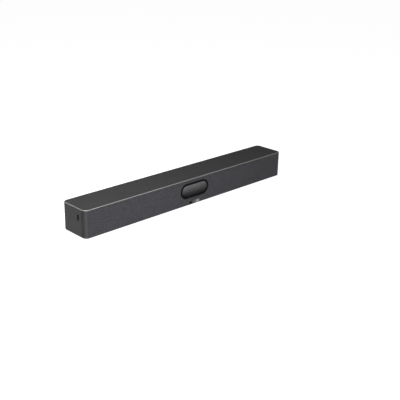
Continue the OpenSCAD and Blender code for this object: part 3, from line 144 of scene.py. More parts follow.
BRASS = Finish("turned_brass", (0.62, 0.42, 0.16), Pattern.TURNED, 0.30, metallic=1.0, grain_mm=0.2)
GOLD = Finish("gold_plate", (0.80, 0.55, 0.20), Pattern.TURNED, 0.22, metallic=1.0, grain_mm=0.2,
              relief_mm=0.002)
GLASS = Finish("coated_glass", (0.62, 0.72, 0.95), Pattern.GLASS, 0.04, coat=1.0, relief_mm=0.0)
DIFFUSER = Finish("light_diffuser", (0.075, 0.075, 0.078), Pattern.FROSTED, 0.45, grain_mm=0.6)
IR_BLACK = Finish("receiver_black", (0.004, 0.0035, 0.004), Pattern.GLOSS, 0.2, specular=0.05,
                  relief_mm=0.002)

NODE_FINISH: dict[str, Finish] = {
    "top_shell": HOUSING, "base_plate": BASE, "front_frame": FRAME, "grille_cloth": CLOTH,
    "lens_bezel": GLOSS_BLACK, "bezel_screws": STEEL, "privacy_visor": VISOR, "hinge_pins": STEEL,
    "camera_bracket": SHEET, "camera_screws": STEEL, "visor_motor": CAN, "motor_screws": STEEL,
    "motor_shaft": STEEL, "drive_pinion": WHITE, "lens_panel": GLOSS_BLACK, "camera_housing": BLACK,
    "lens_barrel": LENS_BLACK, "lens_glass": GLASS, "sensor_board": BOARD, "main_board": BOARD,
    "board_screws": STEEL, "heat_sink": ALUMINIUM, "bay_surround": BLACK, "io_plate": BLACK,
    "power_inlet": BLACK, "lan_socket": SOCKET, "hdmi_sockets": SOCKET, "usb_a_socket": SOCKET,
    "usb_c_socket": SOCKET, "audio_socket": BLACK, "power_button": BUTTON, "power_switch": BLACK,
    "side_usb_collar": BLACK, "side_usb_socket": DARK_SOCKET, "side_usb_board": BOARD,
    "speaker_box_left": BLACK, "speaker_box_right": BLACK, "driver_frame_left": BASKET,
    "driver_frame_right": BASKET, "driver_cone_left": CONE, "driver_cone_right": CONE,
    "driver_magnet_left": MAGNET, "driver_magnet_right": MAGNET, "driver_screws": STEEL,
    "mic_board_left": BOARD, "mic_board_right": BOARD, "antenna_left": BOARD, "antenna_right": BOARD,
    "status_board": BOARD, "ir_window": IR_BLACK, "status_light": DIFFUSER, "rubber_feet": RUBBER,
    "base_screws": STEEL, "tripod_insert": BRASS, "wall_inserts": BRASS,
}


@dataclass(frozen=True)
class Marks:
    """Where the outside finishes change. Lengths are in millimetres, and colours are linear.

    The chamfer's pairs count down from the housing's top, the ends of the visor's painted shade in from the
    ring's foot and head, the shares of the diffuser's painted glow in from its ends, and the band of the
    seam's painted shade forward from the frame's rear edge.
    """

    chamfer_foot: Pair = (1.30, 1.22)
    chamfer_head: Pair = (0.10, 0.03)
    # The chamfer's light colour is partly its bare metal and partly a painted highlight along the top edge.
    chamfer_highlight_colour: Colour = (0.32, 0.32, 0.322)
    chamfer_roughness: float = 0.34
    chamfer_metallic: float = 0.15
    # Painted shade on the visor, darkening downwards, and a painted shadow line round it.
    visor_shade_foot: float = 12.8
    visor_shade_head: float = 8.0
    visor_shade_power: float = 1.2
    visor_shade_colour: Colour = (0.004, 0.004, 0.005)
    capsule_half: float = 27.0
    shadow_line_border: Pair = (13.9, 14.3)
    # Painted glow on the status light's diffuser.
    painted_glow_shares: Pair = (0.38, 0.36)
    painted_glow_colour: Colour = (0.33, 0.33, 0.34)
    receiver_lap: float = 0.2
    # Painted shade at the seam between the front frame and the housing's ends.
    seam_ends: float = 2.5
    seam_shade_band: Pair = (12.4, 11.4)
    seam_shade_share: float = 0.55


def lighter(colour: Colour, share: float) -> Colour:
    """Makes a colour lighter by a share of itself, or darker where the share is below zero."""
    return tuple(min(1.0, c * (1.0 + share)) for c in colour)


class Graph:
    """A node tree with short calls to add and join its nodes."""

    def __init__(self, tree: Tree) -> None:
        """Takes a node tree and empties it."""
        self.tree = tree
        tree.nodes.clear()

    def add(self, kind: str, **values: object) -> Node:
        """Adds a node.

        Args:
            kind: The node's type name.
            values: Properties of the node, or inputs by name with underscores for spaces.

        Returns:
            The new node.
        """
        node = self.tree.nodes.new(kind)
        for name, value in values.items():
            if hasattr(node, name):
                setattr(node, name, value)
        for name, value in values.items():
            if not hasattr(node, name):
                self.feed(node.inputs[name.replace("_", " ")], value)
        return node

    def feed(self, socket: Socket, value: object) -> None:
        """Joins or sets an input.

        Args:
            socket: The input.
            value: Another node's output, or a plain value.
        """
        if isinstance(value, Socket):
            self.tree.links.new(value, socket)
        else:
            socket.default_value = value

    def math(self, operation: str, *values: object, clamp: bool = False) -> Socket:
        """Adds a Math node.

        Args:
            operation: The operation's name.
            values: Its inputs in order.
            clamp: Whether the result is kept from 0 to 1.

        Returns:
            The node's output.
        """
        node = self.add("ShaderNodeMath", operation=operation, use_clamp=clamp)
        for socket, value in zip(node.inputs, values):
            self.feed(socket, value)
        return node.outputs[0]

    def times(self, first: object, second: object) -> Socket:
        """Multiplies two values."""
        return self.math("MULTIPLY", first, second)

    def mix(self, factor: object, first: object, second: object, kind: str = "RGBA") -> Socket:
        """Mixes two colours or two values.

        Args:
            factor: How much of the second.
            first: A colour, a value or a socket.
            second: A colour, a value or a socket.
            kind: RGBA for colours and FLOAT for values.

        Returns:
            The mixed colour or value.
        """
        node = self.add("ShaderNodeMix", data_type=kind)
        start, end = (6, 2) if kind == "RGBA" else (2, 0)
        for index, value in ((0, factor), (start, first), (start + 1, second)):
            self.feed(node.inputs[index], (*value, 1.0) if isinstance(value, tuple) else value)
        return node.outputs[end]

    def ramp(self, value: object, low: float, high: float, to_low: float = 0.0,
             to_high: float = 1.0) -> Socket:
        """Maps a range of values onto another, kept inside it.

        Args:
            value: The input.
            low: Where the range starts.
            high: Where it ends.
            to_low: The result at the start.
            to_high: The result at the end.

        Returns:
            The mapped value.
        """
        node = self.add("ShaderNodeMapRange", clamp=True)
        for index, entry in enumerate((value, low, high, to_low, to_high)):
            self.feed(node.inputs[index], entry)
        return node.outputs[0]

    def noise(self, vector: Socket, scale: float, detail: float, roughness: float = 0.5,
              distortion: float = 0.0) -> Socket:
        """Reads a noise from 0 to 1."""
        return self.add("ShaderNodeTexNoise", Vector=vector, Scale=scale, Detail=detail, Roughness=roughness,
                        Distortion=distortion).outputs[0]

    def scaled(self, vector: Socket, scale: Socket) -> Socket:
        """Scales a vector."""
        return self.add("ShaderNodeVectorMath", operation="SCALE", Vector=vector, Scale=scale).outputs[0]

    def axes(self, vector: Socket) -> Sequence[Socket]:
        """Splits a vector into X, Y and Z."""
        return self.add("ShaderNodeSeparateXYZ", Vector=vector).outputs


class ShaderGroups:
    """The shared effects, each built once as a node group."""

    PER_METRE = 1000.0
    FINE_SPAN = (0.3, 0.7)
    CLOUD_SPAN = (0.32, 0.68)
    DRAWN_CLOUD_SPAN = (0.35, 0.65)
    DRAWN_SCALE = (30.0, 1000.0, 1000.0)
    CROWN = (0.6, 0.4)
    SLUB_LENGTH = 0.12
    HEATHER = (2.4, -1.9)
    THREAD_SPAN = (0.0, 0.9)
    FLECK_SPAN = (0.38, 0.62)
    SPECK_SPAN = (0.02, 0.10)
    SMEAR_SPAN = (0.45, 0.75)

    def __init__(self) -> None:
        """Lists what fills each group, and its size inputs with their defaults."""
        self.built: dict[str, Tree] = {}
        self.kinds = {
            "fine_grain": (self.grain, {"Grain": 0.5}),
            "drawn_lines": (self.lines, {"Grain": 0.3}),
            "plain_weave": (self.weave, {"Pitch": 0.8}),
            "light_dust": (self.dust, {}),
        }

    def group(self, name: str) -> Tree:
        """Returns a group, and builds it the first time.

        Args:
            name: The group's name.

        Returns:
            Its tree.
        """
        if name not in self.built:
            fill, sizes = self.kinds[name]
            tree = bpy.data.node_groups.new(name, "ShaderNodeTree")
            tree.interface.new_socket(name="Vector", in_out="INPUT", socket_type="NodeSocketVector")
            for label, default in sizes.items():
                socket = tree.interface.new_socket(name=label, in_out="INPUT", socket_type="NodeSocketFloat")
                socket.default_value = default
            graph = Graph(tree)
            start = graph.add("NodeGroupInput")
            results = fill(graph, *(start.outputs[label] for label in ("Vector", *sizes)))
            for label in results:
                tree.interface.new_socket(name=label, in_out="OUTPUT", socket_type="NodeSocketFloat")
            graph.add("NodeGroupOutput", **results)
            self.built[name] = tree
        return self.built[name]

    def grain(self, graph: Graph, place: Socket, size: Socket) -> dict[str, Socket]:
        """Fine even grain with a slow cloudy shade, as on paint and moulded plastic.

        Args:
            graph: The group's graph.
            place: Object coordinates.
            size: The grain in millimetres.

        Returns:
            The group's outputs by name.
        """
        rate = graph.math("DIVIDE", self.PER_METRE, size)
        fine = graph.noise(graph.scaled(place, rate), scale=1.0, detail=3.0, roughness=0.6)
        cloud = graph.noise(place, scale=38.0, detail=5.0, roughness=0.62)
        return {"Height": fine, "Fine": graph.ramp(fine, *self.FINE_SPAN),
                "Cloud": graph.ramp(cloud, *self.CLOUD_SPAN)}

    def lines(self, graph: Graph, place: Socket, size: Socket) -> dict[str, Socket]:
        """Fine drawn lines along X with a slow shade, as on sheet metal.

        Args:
            graph: The group's graph.
            place: Object coordinates.
            size: The lines' pitch in millimetres.

        Returns:
            The group's outputs by name.
        """
        along = graph.add("ShaderNodeMapping", Vector=place, Scale=self.DRAWN_SCALE)
        rate = graph.math("DIVIDE", 1.0, size)
        fine = graph.noise(graph.scaled(along.outputs[0], rate), scale=1.0, detail=4.0, roughness=0.65)
        cloud = graph.noise(place, scale=60.0, detail=4.0)
        return {"Height": fine, "Fine": graph.ramp(fine, *self.FINE_SPAN),
                "Cloud": graph.ramp(cloud, *self.DRAWN_CLOUD_SPAN)}

    def weave(self, graph: Graph, place: Socket, size: Socket) -> dict[str, Socket]:
        """Plain weave that follows the cloth round the bar's corners, with a heathered shade.

        Args:
            graph: The group's graph.
            place: Object coordinates.
            size: The threads' pitch in millimetres.

        Returns:
            The group's outputs by name.
        """
        x, y, z = graph.axes(place)
        rate = graph.math("DIVIDE", self.PER_METRE, size)
        across = graph.times(graph.math("ADD", graph.math("ABSOLUTE", x), y), rate)
        up = graph.times(z, rate)
        warp = graph.math("SINE", graph.times(across, math.pi))
        weft = graph.math("SINE", graph.times(up, math.pi))
        over = graph.math("GREATER_THAN", graph.times(warp, weft), 0.0)
        warp, weft = graph.math("ABSOLUTE", warp), graph.math("ABSOLUTE", weft)
        warp_top = graph.times(warp, graph.math("MULTIPLY_ADD", weft, *self.CROWN))
        weft_top = graph.times(weft, graph.math("MULTIPLY_ADD", warp, *self.CROWN))
        height = graph.mix(over, weft_top, warp_top, "FLOAT")
        upright = graph.add("ShaderNodeCombineXYZ", X=across, Y=graph.times(up, self.SLUB_LENGTH), Z=0.0)
        level = graph.add("ShaderNodeCombineXYZ", X=graph.times(across, self.SLUB_LENGTH), Y=up, Z=3.0)
        slubs = graph.math("ADD", graph.noise(upright.outputs[0], scale=0.26, detail=3.0),
                           graph.noise(level.outputs[0], scale=0.45, detail=2.0))
        fleck = graph.noise(place, scale=330.0, detail=2.0)
        return {"Height": height, "Thread": graph.ramp(height, *self.THREAD_SPAN),
                "Heather": graph.math("MULTIPLY_ADD", slubs, *self.HEATHER, clamp=True),
                "Fleck": graph.ramp(fleck, *self.FLECK_SPAN)}

    def dust(self, graph: Graph, place: Socket) -> dict[str, Socket]:
        """Sparse faint specks and smears, for gloss plastic and glass.

        Args:
            graph: The group's graph.
            place: Object coordinates.

        Returns:
            The group's outputs by name.
        """
        speck = graph.add("ShaderNodeTexVoronoi", Vector=place, Scale=900.0)
        smear = graph.noise(place, scale=55.0, detail=4.0, distortion=0.6)
        return {"Specks": graph.ramp(speck.outputs["Distance"], *self.SPECK_SPAN, 1.0, 0.0),
                "Smears": graph.ramp(smear, *self.SMEAR_SPAN)}


class Surface(Graph):
    """A material's graph, with its Principled shader and its object coordinates."""

    COAT_ROUGHNESS = 0.06

    def __init__(self, finish: Finish) -> None:
        """Makes the material with the finish's plain values.

        Args:
            finish: The finish.
        """
        self.material = bpy.data.materials.new(finish.name)
        self.material.use_nodes = True
        super().__init__(self.material.node_tree)
        self.shader = self.add("ShaderNodeBsdfPrincipled", Metallic=finish.metallic, Coat_Weight=finish.coat,
                               Specular_IOR_Level=finish.specular, Coat_Roughness=self.COAT_ROUGHNESS)
        self.add("ShaderNodeOutputMaterial", Surface=self.shader.outputs[0])
        self.place = self.add("ShaderNodeTexCoord").outputs["Object"]

    def put(self, name: str, value: object) -> None:
        """Joins or sets one of the shader's inputs."""
        self.feed(self.shader.inputs[name], value)

    def now(self, name: str) -> Socket:
        """Finds what feeds one of the shader's inputs."""
        return self.shader.inputs[name].links[0].from_socket

    def effect(self, tree: Tree, **sizes: float) -> Sequence[Socket]:
        """Adds a shared group with its sizes, and returns its outputs."""
        return self.add("ShaderNodeGroup", node_tree=tree, Vector=self.place, **sizes).outputs

    def shaded(self, factor: Socket, colour: Colour, share: float) -> Socket:
        """Varies a colour from darker by a share, at factor zero, to lighter by it, at one."""
        return self.mix(factor, lighter(colour, -share), lighter(colour, share))

    def paint_over(self, mask: Socket, colour: Colour) -> None:
        """Lays a colour over what feeds the base colour."""
        self.put("Base Color", self.mix(mask, self.now("Base Color"), colour))

    def relief(self, height: Socket, depth_mm: float) -> None:
        """Turns a height from 0 to 1 into a bump of a real depth."""
        bump = self.add("ShaderNodeBump", Strength=1.0, Distance=depth_mm * MM, Height=height)
        self.put("Normal", bump.outputs[0])


class Finisher:
    """Makes the material of each finish, once."""

    SMOOTHEST = 0.03
    GRAIN_SHARE = 0.35
    CLOUD_SHARE = 0.65
    SPECK_SHARE = 0.10
    SPECK_COLOUR = (0.25, 0.25, 0.25)
    SMEAR_ROUGHNESS = 0.08
    HEATHER_SHADE = 0.30
    FLECK_SHARE = 0.35
    FLECK_SHADE = 0.55
    GAP_AND_FLANK_PAINTED_SHADE = -0.65
    GAP_ROUGHNESS = 0.95
    GLASS_SHADE = -0.12

    def __init__(self) -> None:
        """Starts with no material made, and lists what dresses each pattern and marks each finish."""
        self.groups = ShaderGroups()
        self.marks = Marks()
        self.made: dict[str, bpy.types.Material] = {}
        self.dressers = {
            Pattern.WOVEN: self.dress_cloth,
            Pattern.GLASS: self.dress_glass,
            Pattern.GLOSS: self.dress_gloss,
        }
        self.markers = {
            HOUSING: (self.polish_and_highlight_edge,),
            VISOR: (self.paint_visor_shade,),
            DIFFUSER: (self.paint_glow,),
            FRAME: (self.paint_seam_shade, self.mask_receiver),
        }

    def material(self, finish: Finish) -> bpy.types.Material:
        """Returns the finish's material, and makes it the first time.

        Args:
            finish: The finish.

        Returns:
            Its material.
        """
        if finish.name not in self.made:
            surface = Surface(finish)
            self.dressers.get(finish.pattern, self.dress_grain)(surface, finish)
            for mark in self.markers.get(finish, ()):
                mark(surface)
            self.made[finish.name] = surface.material
        return self.made[finish.name]

    def dress_grain(self, surface: Surface, finish: Finish) -> None:
        """Paint, moulded plastic, metal, rubber and boards.

        Args:
            surface: The material's graph.
            finish: The finish.
        """
        kind = "drawn_lines" if finish.pattern is Pattern.BRUSHED else "fine_grain"
        grain = surface.effect(self.groups.group(kind), Grain=finish.grain_mm)
        shade = surface.math("ADD", surface.times(grain["Fine"], self.GRAIN_SHARE),
                             surface.times(grain["Cloud"], self.CLOUD_SHARE))
        surface.put("Base Color", surface.shaded(shade, finish.colour, finish.shade))
        low = max(self.SMOOTHEST, finish.roughness - finish.spread)
        high = min(1.0, finish.roughness + finish.spread)
        surface.put("Roughness", surface.ramp(shade, 0.0, 1.0, low, high))
        surface.relief(grain["Height"], finish.relief_mm)

    def dress_gloss(self, surface: Surface, finish: Finish) -> None:
        """Gloss plastic with faint dust.

        Args:
            surface: The material's graph.
            finish: The finish.
        """
        grain = surface.effect(self.groups.group("fine_grain"), Grain=finish.grain_mm)
        dust = surface.effect(self.groups.group("light_dust"))
        base = surface.shaded(grain["Cloud"], finish.colour, finish.shade)
        specks = surface.times(dust["Specks"], self.SPECK_SHARE)
        surface.put("Base Color", surface.mix(specks, base, self.SPECK_COLOUR))
        rougher = finish.roughness + self.SMEAR_ROUGHNESS
        surface.put("Roughness", surface.ramp(dust["Smears"], 0.0, 1.0, finish.roughness, rougher))
        surface.relief(grain["Height"], finish.relief_mm)

    def dress_cloth(self, surface: Surface, finish: Finish) -> None:
        """Woven front cloth.

        Args:
            surface: The material's graph.
            finish: The finish.
        """
        weave = surface.effect(self.groups.group("plain_weave"), Pitch=finish.grain_mm)
        yarn = surface.shaded(weave["Heather"], finish.colour, self.HEATHER_SHADE)
        flecks = surface.times(weave["Fleck"], self.FLECK_SHARE)
        flecked = surface.mix(flecks, yarn, lighter(finish.colour, self.FLECK_SHADE))
        # Darker from each thread's crown down to the gaps: the open gaps are dark, and the darkening down the
        # flanks is painted shade.
        gap_and_flank_shade = lighter(finish.colour, self.GAP_AND_FLANK_PAINTED_SHADE)
        surface.put("Base Color", surface.mix(weave["Thread"], gap_and_flank_shade, flecked))
        rough = surface.ramp(weave["Thread"], 0.0, 1.0, self.GAP_ROUGHNESS, finish.roughness)
        surface.put("Roughness", rough)
        surface.put("Sheen Weight", 0.25)
        surface.put("Sheen Roughness", 0.5)
        surface.relief(weave["Height"], finish.relief_mm)

    def dress_glass(self, surface: Surface, finish: Finish) -> None:
        """Coated lens glass with a faint smear.

        Args:
            surface: The material's graph.
            finish: The finish.
        """
        smears = surface.effect(self.groups.group("light_dust"))["Smears"]
        tint = surface.mix(smears, finish.colour, lighter(finish.colour, self.GLASS_SHADE))
        surface.put("Base Color", tint)
        rough = surface.ramp(smears, 0.0, 1.0, finish.roughness, self.SMEAR_ROUGHNESS)
        surface.put("Roughness", rough)
        surface.put("Transmission Weight", 1.0)
        surface.put("IOR", 1.5)
        surface.put("Coat Tint", (0.55, 0.45, 1.0, 1.0))

    def polish_and_highlight_edge(self, surface: Surface) -> None:
        """Bare polished metal on the chamfer round the housing's top edge, its colour lightened as a painted
        highlight.

        Args:
            surface: The material's graph.
        """
        marks = self.marks
        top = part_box("top_shell")[1].z
        height = surface.axes(surface.place)[2]
        above = surface.ramp(height, *(top - down * MM for down in marks.chamfer_foot))
        below = surface.ramp(height, *(top - down * MM for down in marks.chamfer_head), 1.0, 0.0)
        edge = surface.times(above, below)
        # Painted highlight: the light colour brightens the chamfer beyond what its polish gives.
        surface.paint_over(edge, marks.chamfer_highlight_colour)
        rough = surface.mix(edge, surface.now("Roughness"), marks.chamfer_roughness, "FLOAT")
        surface.put("Roughness", rough)
        surface.put("Metallic", surface.times(edge, marks.chamfer_metallic))

    def paint_visor_shade(self, surface: Surface) -> None:
        """Paints shade on the visor, grey at its top to near black below, and a shadow line round it.

        Args:
            surface: The material's graph.
        """
        marks = self.marks
        low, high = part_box("lens_bezel")
        foot, head = low.z + marks.visor_shade_foot * MM, high.z - marks.visor_shade_head * MM
        share = surface.ramp(surface.axes(surface.place)[2], foot, head)
        # Painted shade: the visor darkens downwards, and a painted shadow line blackens it outside the
        # capsule.
        clear = surface.times(surface.math("POWER", share, marks.visor_shade_power),
                              self.inside_capsule(surface, (low.z + high.z) / 2))
        surface.put("Base Color", surface.mix(clear, marks.visor_shade_colour, surface.now("Base Color")))

    def inside_capsule(self, surface: Surface, middle: float) -> Socket:
        """Masks a capsule round the window's centre.

        Args:
            surface: The material's graph.
            middle: Height of the centre in metres.

        Returns:
            One inside the capsule and zero outside it.
        """
        x, _, z = surface.axes(surface.place)
        beyond = surface.math("SUBTRACT", surface.math("ABSOLUTE", x), self.marks.capsule_half * MM)
        past = surface.math("MAXIMUM", beyond, 0.0)
        rise = surface.math("SUBTRACT", z, middle)
        away = surface.math("SQRT", surface.math("ADD", surface.times(past, past),
                                                 surface.times(rise, rise)))
        return surface.ramp(away, *(radius * MM for radius in self.marks.shadow_line_border), 1.0, 0.0)

    def paint_glow(self, surface: Surface) -> None:
        """Paints light on the diffuser as a glow, lighter towards its right end.

        Args:
            surface: The material's graph.
        """
        low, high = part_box("status_light")
        start, end = self.marks.painted_glow_shares
        length = high.x - low.x
        x = surface.axes(surface.place)[0]
        share = surface.ramp(x, low.x + start * length, high.x - end * length)
        # Painted glow: the diffuser is no lamp, and its right part is painted lighter.
        surface.paint_over(share, self.marks.painted_glow_colour)

    def mask_receiver(self, surface: Surface) -> None:
        """Blackens the rib between the receiver window and the status light, up to the light's top.

        Args:
            surface: The material's graph.
        """
        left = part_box("ir_window")[1].x
        low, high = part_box("status_light")
        lap = self.marks.receiver_lap * MM
        x, _, z = surface.axes(surface.place)
        across = surface.math("COMPARE", x, (left + low.x) / 2, (low.x - left) / 2 + lap)
        beneath = surface.math("LESS_THAN", z, high.z + lap)
        surface.paint_over(surface.times(across, beneath), IR_BLACK.colour)

    def paint_seam_shade(self, surface: Surface) -> None:
        """Paints shade on the front frame's corners behind the strip that edges the cloth, at the seam.

        Args:
            surface: The material's graph.
        """
        marks = self.marks
        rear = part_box("front_frame")[1].y
        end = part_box("top_shell")[1].x - marks.seam_ends * MM
        x, y, _ = surface.axes(surface.place)
        out = surface.math("GREATER_THAN", surface.math("ABSOLUTE", x), end)
        near = surface.ramp(y, *(rear - ahead * MM for ahead in marks.seam_shade_band), 0.0, marks.seam_shade_share)
        # Painted shade: the seam's shadow gap, laid on as black.
        surface.paint_over(surface.times(out, near), BLACK.colour)


class Workbench:
    """Makes meshes with bmesh operators and hands them over as pieces of the bar."""

    WELD = 1e-7

    def __init__(self, finisher: Finisher) -> None:
        """Keeps what makes the materials, and counts the pieces from none."""
        self.finisher = finisher
        self.count = 0

    def box_mm(self, node: str) -> tuple[Vector, Vector]:
        """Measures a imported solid: the low and the high corner of its box in millimetres."""
        low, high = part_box(node)
        return low / MM, high / MM

    def turned(self, profile: Sequence[Pair], centre: Point, steps: int = 96, closed: bool = True) -> Mesh:
        """Turns a profile about an axis along Y.

        Args:
            profile: Radius and place along Y of each point, in millimetres.
            centre: The axis's X and Z, with the Y that the profile counts from, in millimetres.
            steps: Steps of the full turn.
            closed: Whether the profile's last point joins its first.

        Returns:
            The turned mesh, in metres.
        """
        bm = bmesh.new()
        verts = [bm.verts.new((r * MM, y * MM, 0.0)) for r, y in profile]
        pairs = list(zip(verts, verts[1:])) + ([(verts[-1], verts[0])] if closed else [])
        edges = [bm.edges.new(pair) for pair in pairs]
        bmesh.ops.spin(bm, geom=verts + edges, cent=(0, 0, 0), axis=(0, 1, 0), angle=math.tau, steps=steps,
                       use_merge=True, use_duplicate=False)
        bmesh.ops.remove_doubles(bm, verts=bm.verts, dist=self.WELD)
        bmesh.ops.recalc_face_normals(bm, faces=bm.faces)
        bmesh.ops.translate(bm, verts=bm.verts, vec=Vector(centre) * MM)
        return bm

    def slab(self, size: Point, centre: Point, bevel: float = 0.0, turn: Matrix | None = None) -> Mesh:
        """Makes a block with rounded edges.

        Args:
            size: Its size in millimetres.
            centre: Its centre in millimetres.
            bevel: The radius of its edges in millimetres.
            turn: A turn about its centre, if any.

        Returns:
            The block's mesh, in metres.
        """
        bm = bmesh.new()
        bmesh.ops.create_cube(bm, size=1.0)
        bmesh.ops.scale(bm, vec=Vector(size) * MM, verts=bm.verts)
        if bevel > 0:
            bmesh.ops.bevel(bm, geom=bm.edges[:], offset=bevel * MM, segments=2, profile=0.5, affect="EDGES",
                            material=-1)
        if turn is not None:
            bmesh.ops.transform(bm, matrix=turn, verts=bm.verts)
        bmesh.ops.translate(bm, verts=bm.verts, vec=Vector(centre) * MM)
        return bm

    def together(self, parts: Sequence[Mesh]) -> Mesh:
        """Joins several meshes into one.

        Args:
            parts: The meshes, which are used up.

        Returns:
            One mesh of them all.
        """
        whole = bmesh.new()
        for part in parts:
            mesh = bpy.data.meshes.new("part")
            part.to_mesh(mesh)
            part.free()
            whole.from_mesh(mesh)
            bpy.data.meshes.remove(mesh)
        return whole

    def piece(self, bm: Mesh, name: str, finish: Finish, slot: str,
              angle: float = 35.0) -> bpy.types.Object:
        """Hands a mesh over as a piece that rides on the bar.

        Args:
            bm: The mesh, which is used up.
            name: The piece's name.
            finish: Its finish.
            slot: A material slot's name, not used.
            angle: Edges sharper than this stay sharp, in degrees.

        Returns:
            The piece's object.
        """
        mesh = bpy.data.meshes.new(name)
        bm.to_mesh(mesh)
        bm.free()
        mesh.shade_smooth()
        mesh.set_sharp_from_angle(angle=math.radians(angle))
        mesh.materials.append(self.finisher.material(finish))
        obj = bpy.data.objects.new(name, mesh)
        bpy.context.scene.collection.objects.link(obj)
        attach(obj, "bar")
        self.count += 1
        LOG.info("made %s: %d faces", name, len(mesh.polygons))
        return obj


@dataclass
class FrontCloth:
    """The front cloth, stretched over the front frame and tucked back at its edges.

    Lengths are in metres. The tuck is that of two edges together, and is not used.
    """

    bench: Workbench
    thickness: float = 0.0008
    tuck: float = 0.0016
    weld: float = 1e-6
    sharp_from: float = 4.0

    def build(self) -> None:
        solid = bpy.data.objects["grille_cloth"]
        bm = bmesh.new()
        bm.from_mesh(solid.data)
        bmesh.ops.transform(bm, matrix=solid.matrix_world, verts=bm.verts)
        bmesh.ops.remove_doubles(bm, verts=bm.verts, dist=self.weld)
        bmesh.ops.recalc_face_normals(bm, faces=bm.faces)
        area = bm.calc_volume() / self.thickness
        cloth = self.bench.piece(bm, "front_cloth", CLOTH, "cloth", self.sharp_from)
        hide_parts("grille_cloth")


@dataclass
class LensUnit:
    """What shows in the lens barrel when the visor opens. Lengths are in millimetres.

    Depths count back from the barrel's front.
    """

    bench: Workbench
    ring_inner: float = 7.7
    ring_outer: float = 8.7
    ring_t: float = 0.4
    ring_slope: float = 0.15
    ring_flat: float = 0.25
    ring_rim: float = 0.2
    ring_gap: float = 0.01
    baffle_steps: int = 6
    baffle_radius: float = 5.35
    baffle_narrows: float = 0.35
    baffle_depth: float = 2.9
    baffle_pitch: float = 1.1
    baffle_wall: float = 5.42
    baffle_lip: float = 0.3
    baffle_end: float = 0.5
    lens_radius: float = 3.0
    lens_dome: float = 1.2
    lens_back: float = 1.6
    lens_depth: float = 9.6
    lens_rings: int = 8

    def build(self) -> None:
        """Builds the retaining ring, the baffle and the inner lens."""
        low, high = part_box("lens_barrel")
        axis_z = (low.z + high.z) / 2 / MM
        front = low.y / MM
        bench = self.bench
        ring = bench.turned(self.ring_profile(), (0.0, front - self.ring_gap, axis_z))
        bench.piece(ring, "lens_retaining_ring", LENS_BLACK, "black_plastic")
        baffle = bench.turned(self.baffle_profile(), (0.0, front, axis_z), 72)
        bench.piece(baffle, "lens_baffle", BLACK, "black_plastic", 20.0)
        lens = bench.turned(self.lens_profile(), (0.0, front + self.lens_depth, axis_z), 64, closed=False)
        bench.piece(lens, "inner_lens", GLASS, "lens_glass")

    def ring_profile(self) -> list[Pair]:
        """Turned ring in front of the glass.

        Returns:
            Radius and depth of each point.
        """
        inner, outer, t = self.ring_inner, self.ring_outer, self.ring_t
        return [(inner, 0.0), (inner + self.ring_slope, -t), (outer - self.ring_flat, -t),
                (outer, -t + self.ring_rim), (outer, 0.0)]

    def baffle_profile(self) -> list[Pair]:
        """Stepped light baffle inside the barrel.

        Returns:
            Radius and depth of each point.
        """
        profile: list[Pair] = []
        for i in range(self.baffle_steps):
            radius = self.baffle_radius - self.baffle_narrows * i
            depth = self.baffle_depth + self.baffle_pitch * i
            profile += [(radius, depth), (radius, depth + self.baffle_pitch)]
        radius, depth = profile[-1]
        end = depth + self.baffle_end
        return profile + [(radius - self.baffle_lip, depth), (radius - self.baffle_lip, end),
                          (self.baffle_wall, end), (self.baffle_wall, self.baffle_depth)]

    def lens_profile(self) -> list[Pair]:
        """Second lens, domed towards the front.

        Returns:
            Radius and depth of each point.
        """
        turns = [i * math.pi / (2 * self.lens_rings) for i in range(self.lens_rings + 1)]
        dome = [(self.lens_radius * math.sin(a), self.lens_dome * (1.0 - math.cos(a))) for a in turns]
        return dome + [(0.0, self.lens_back)]


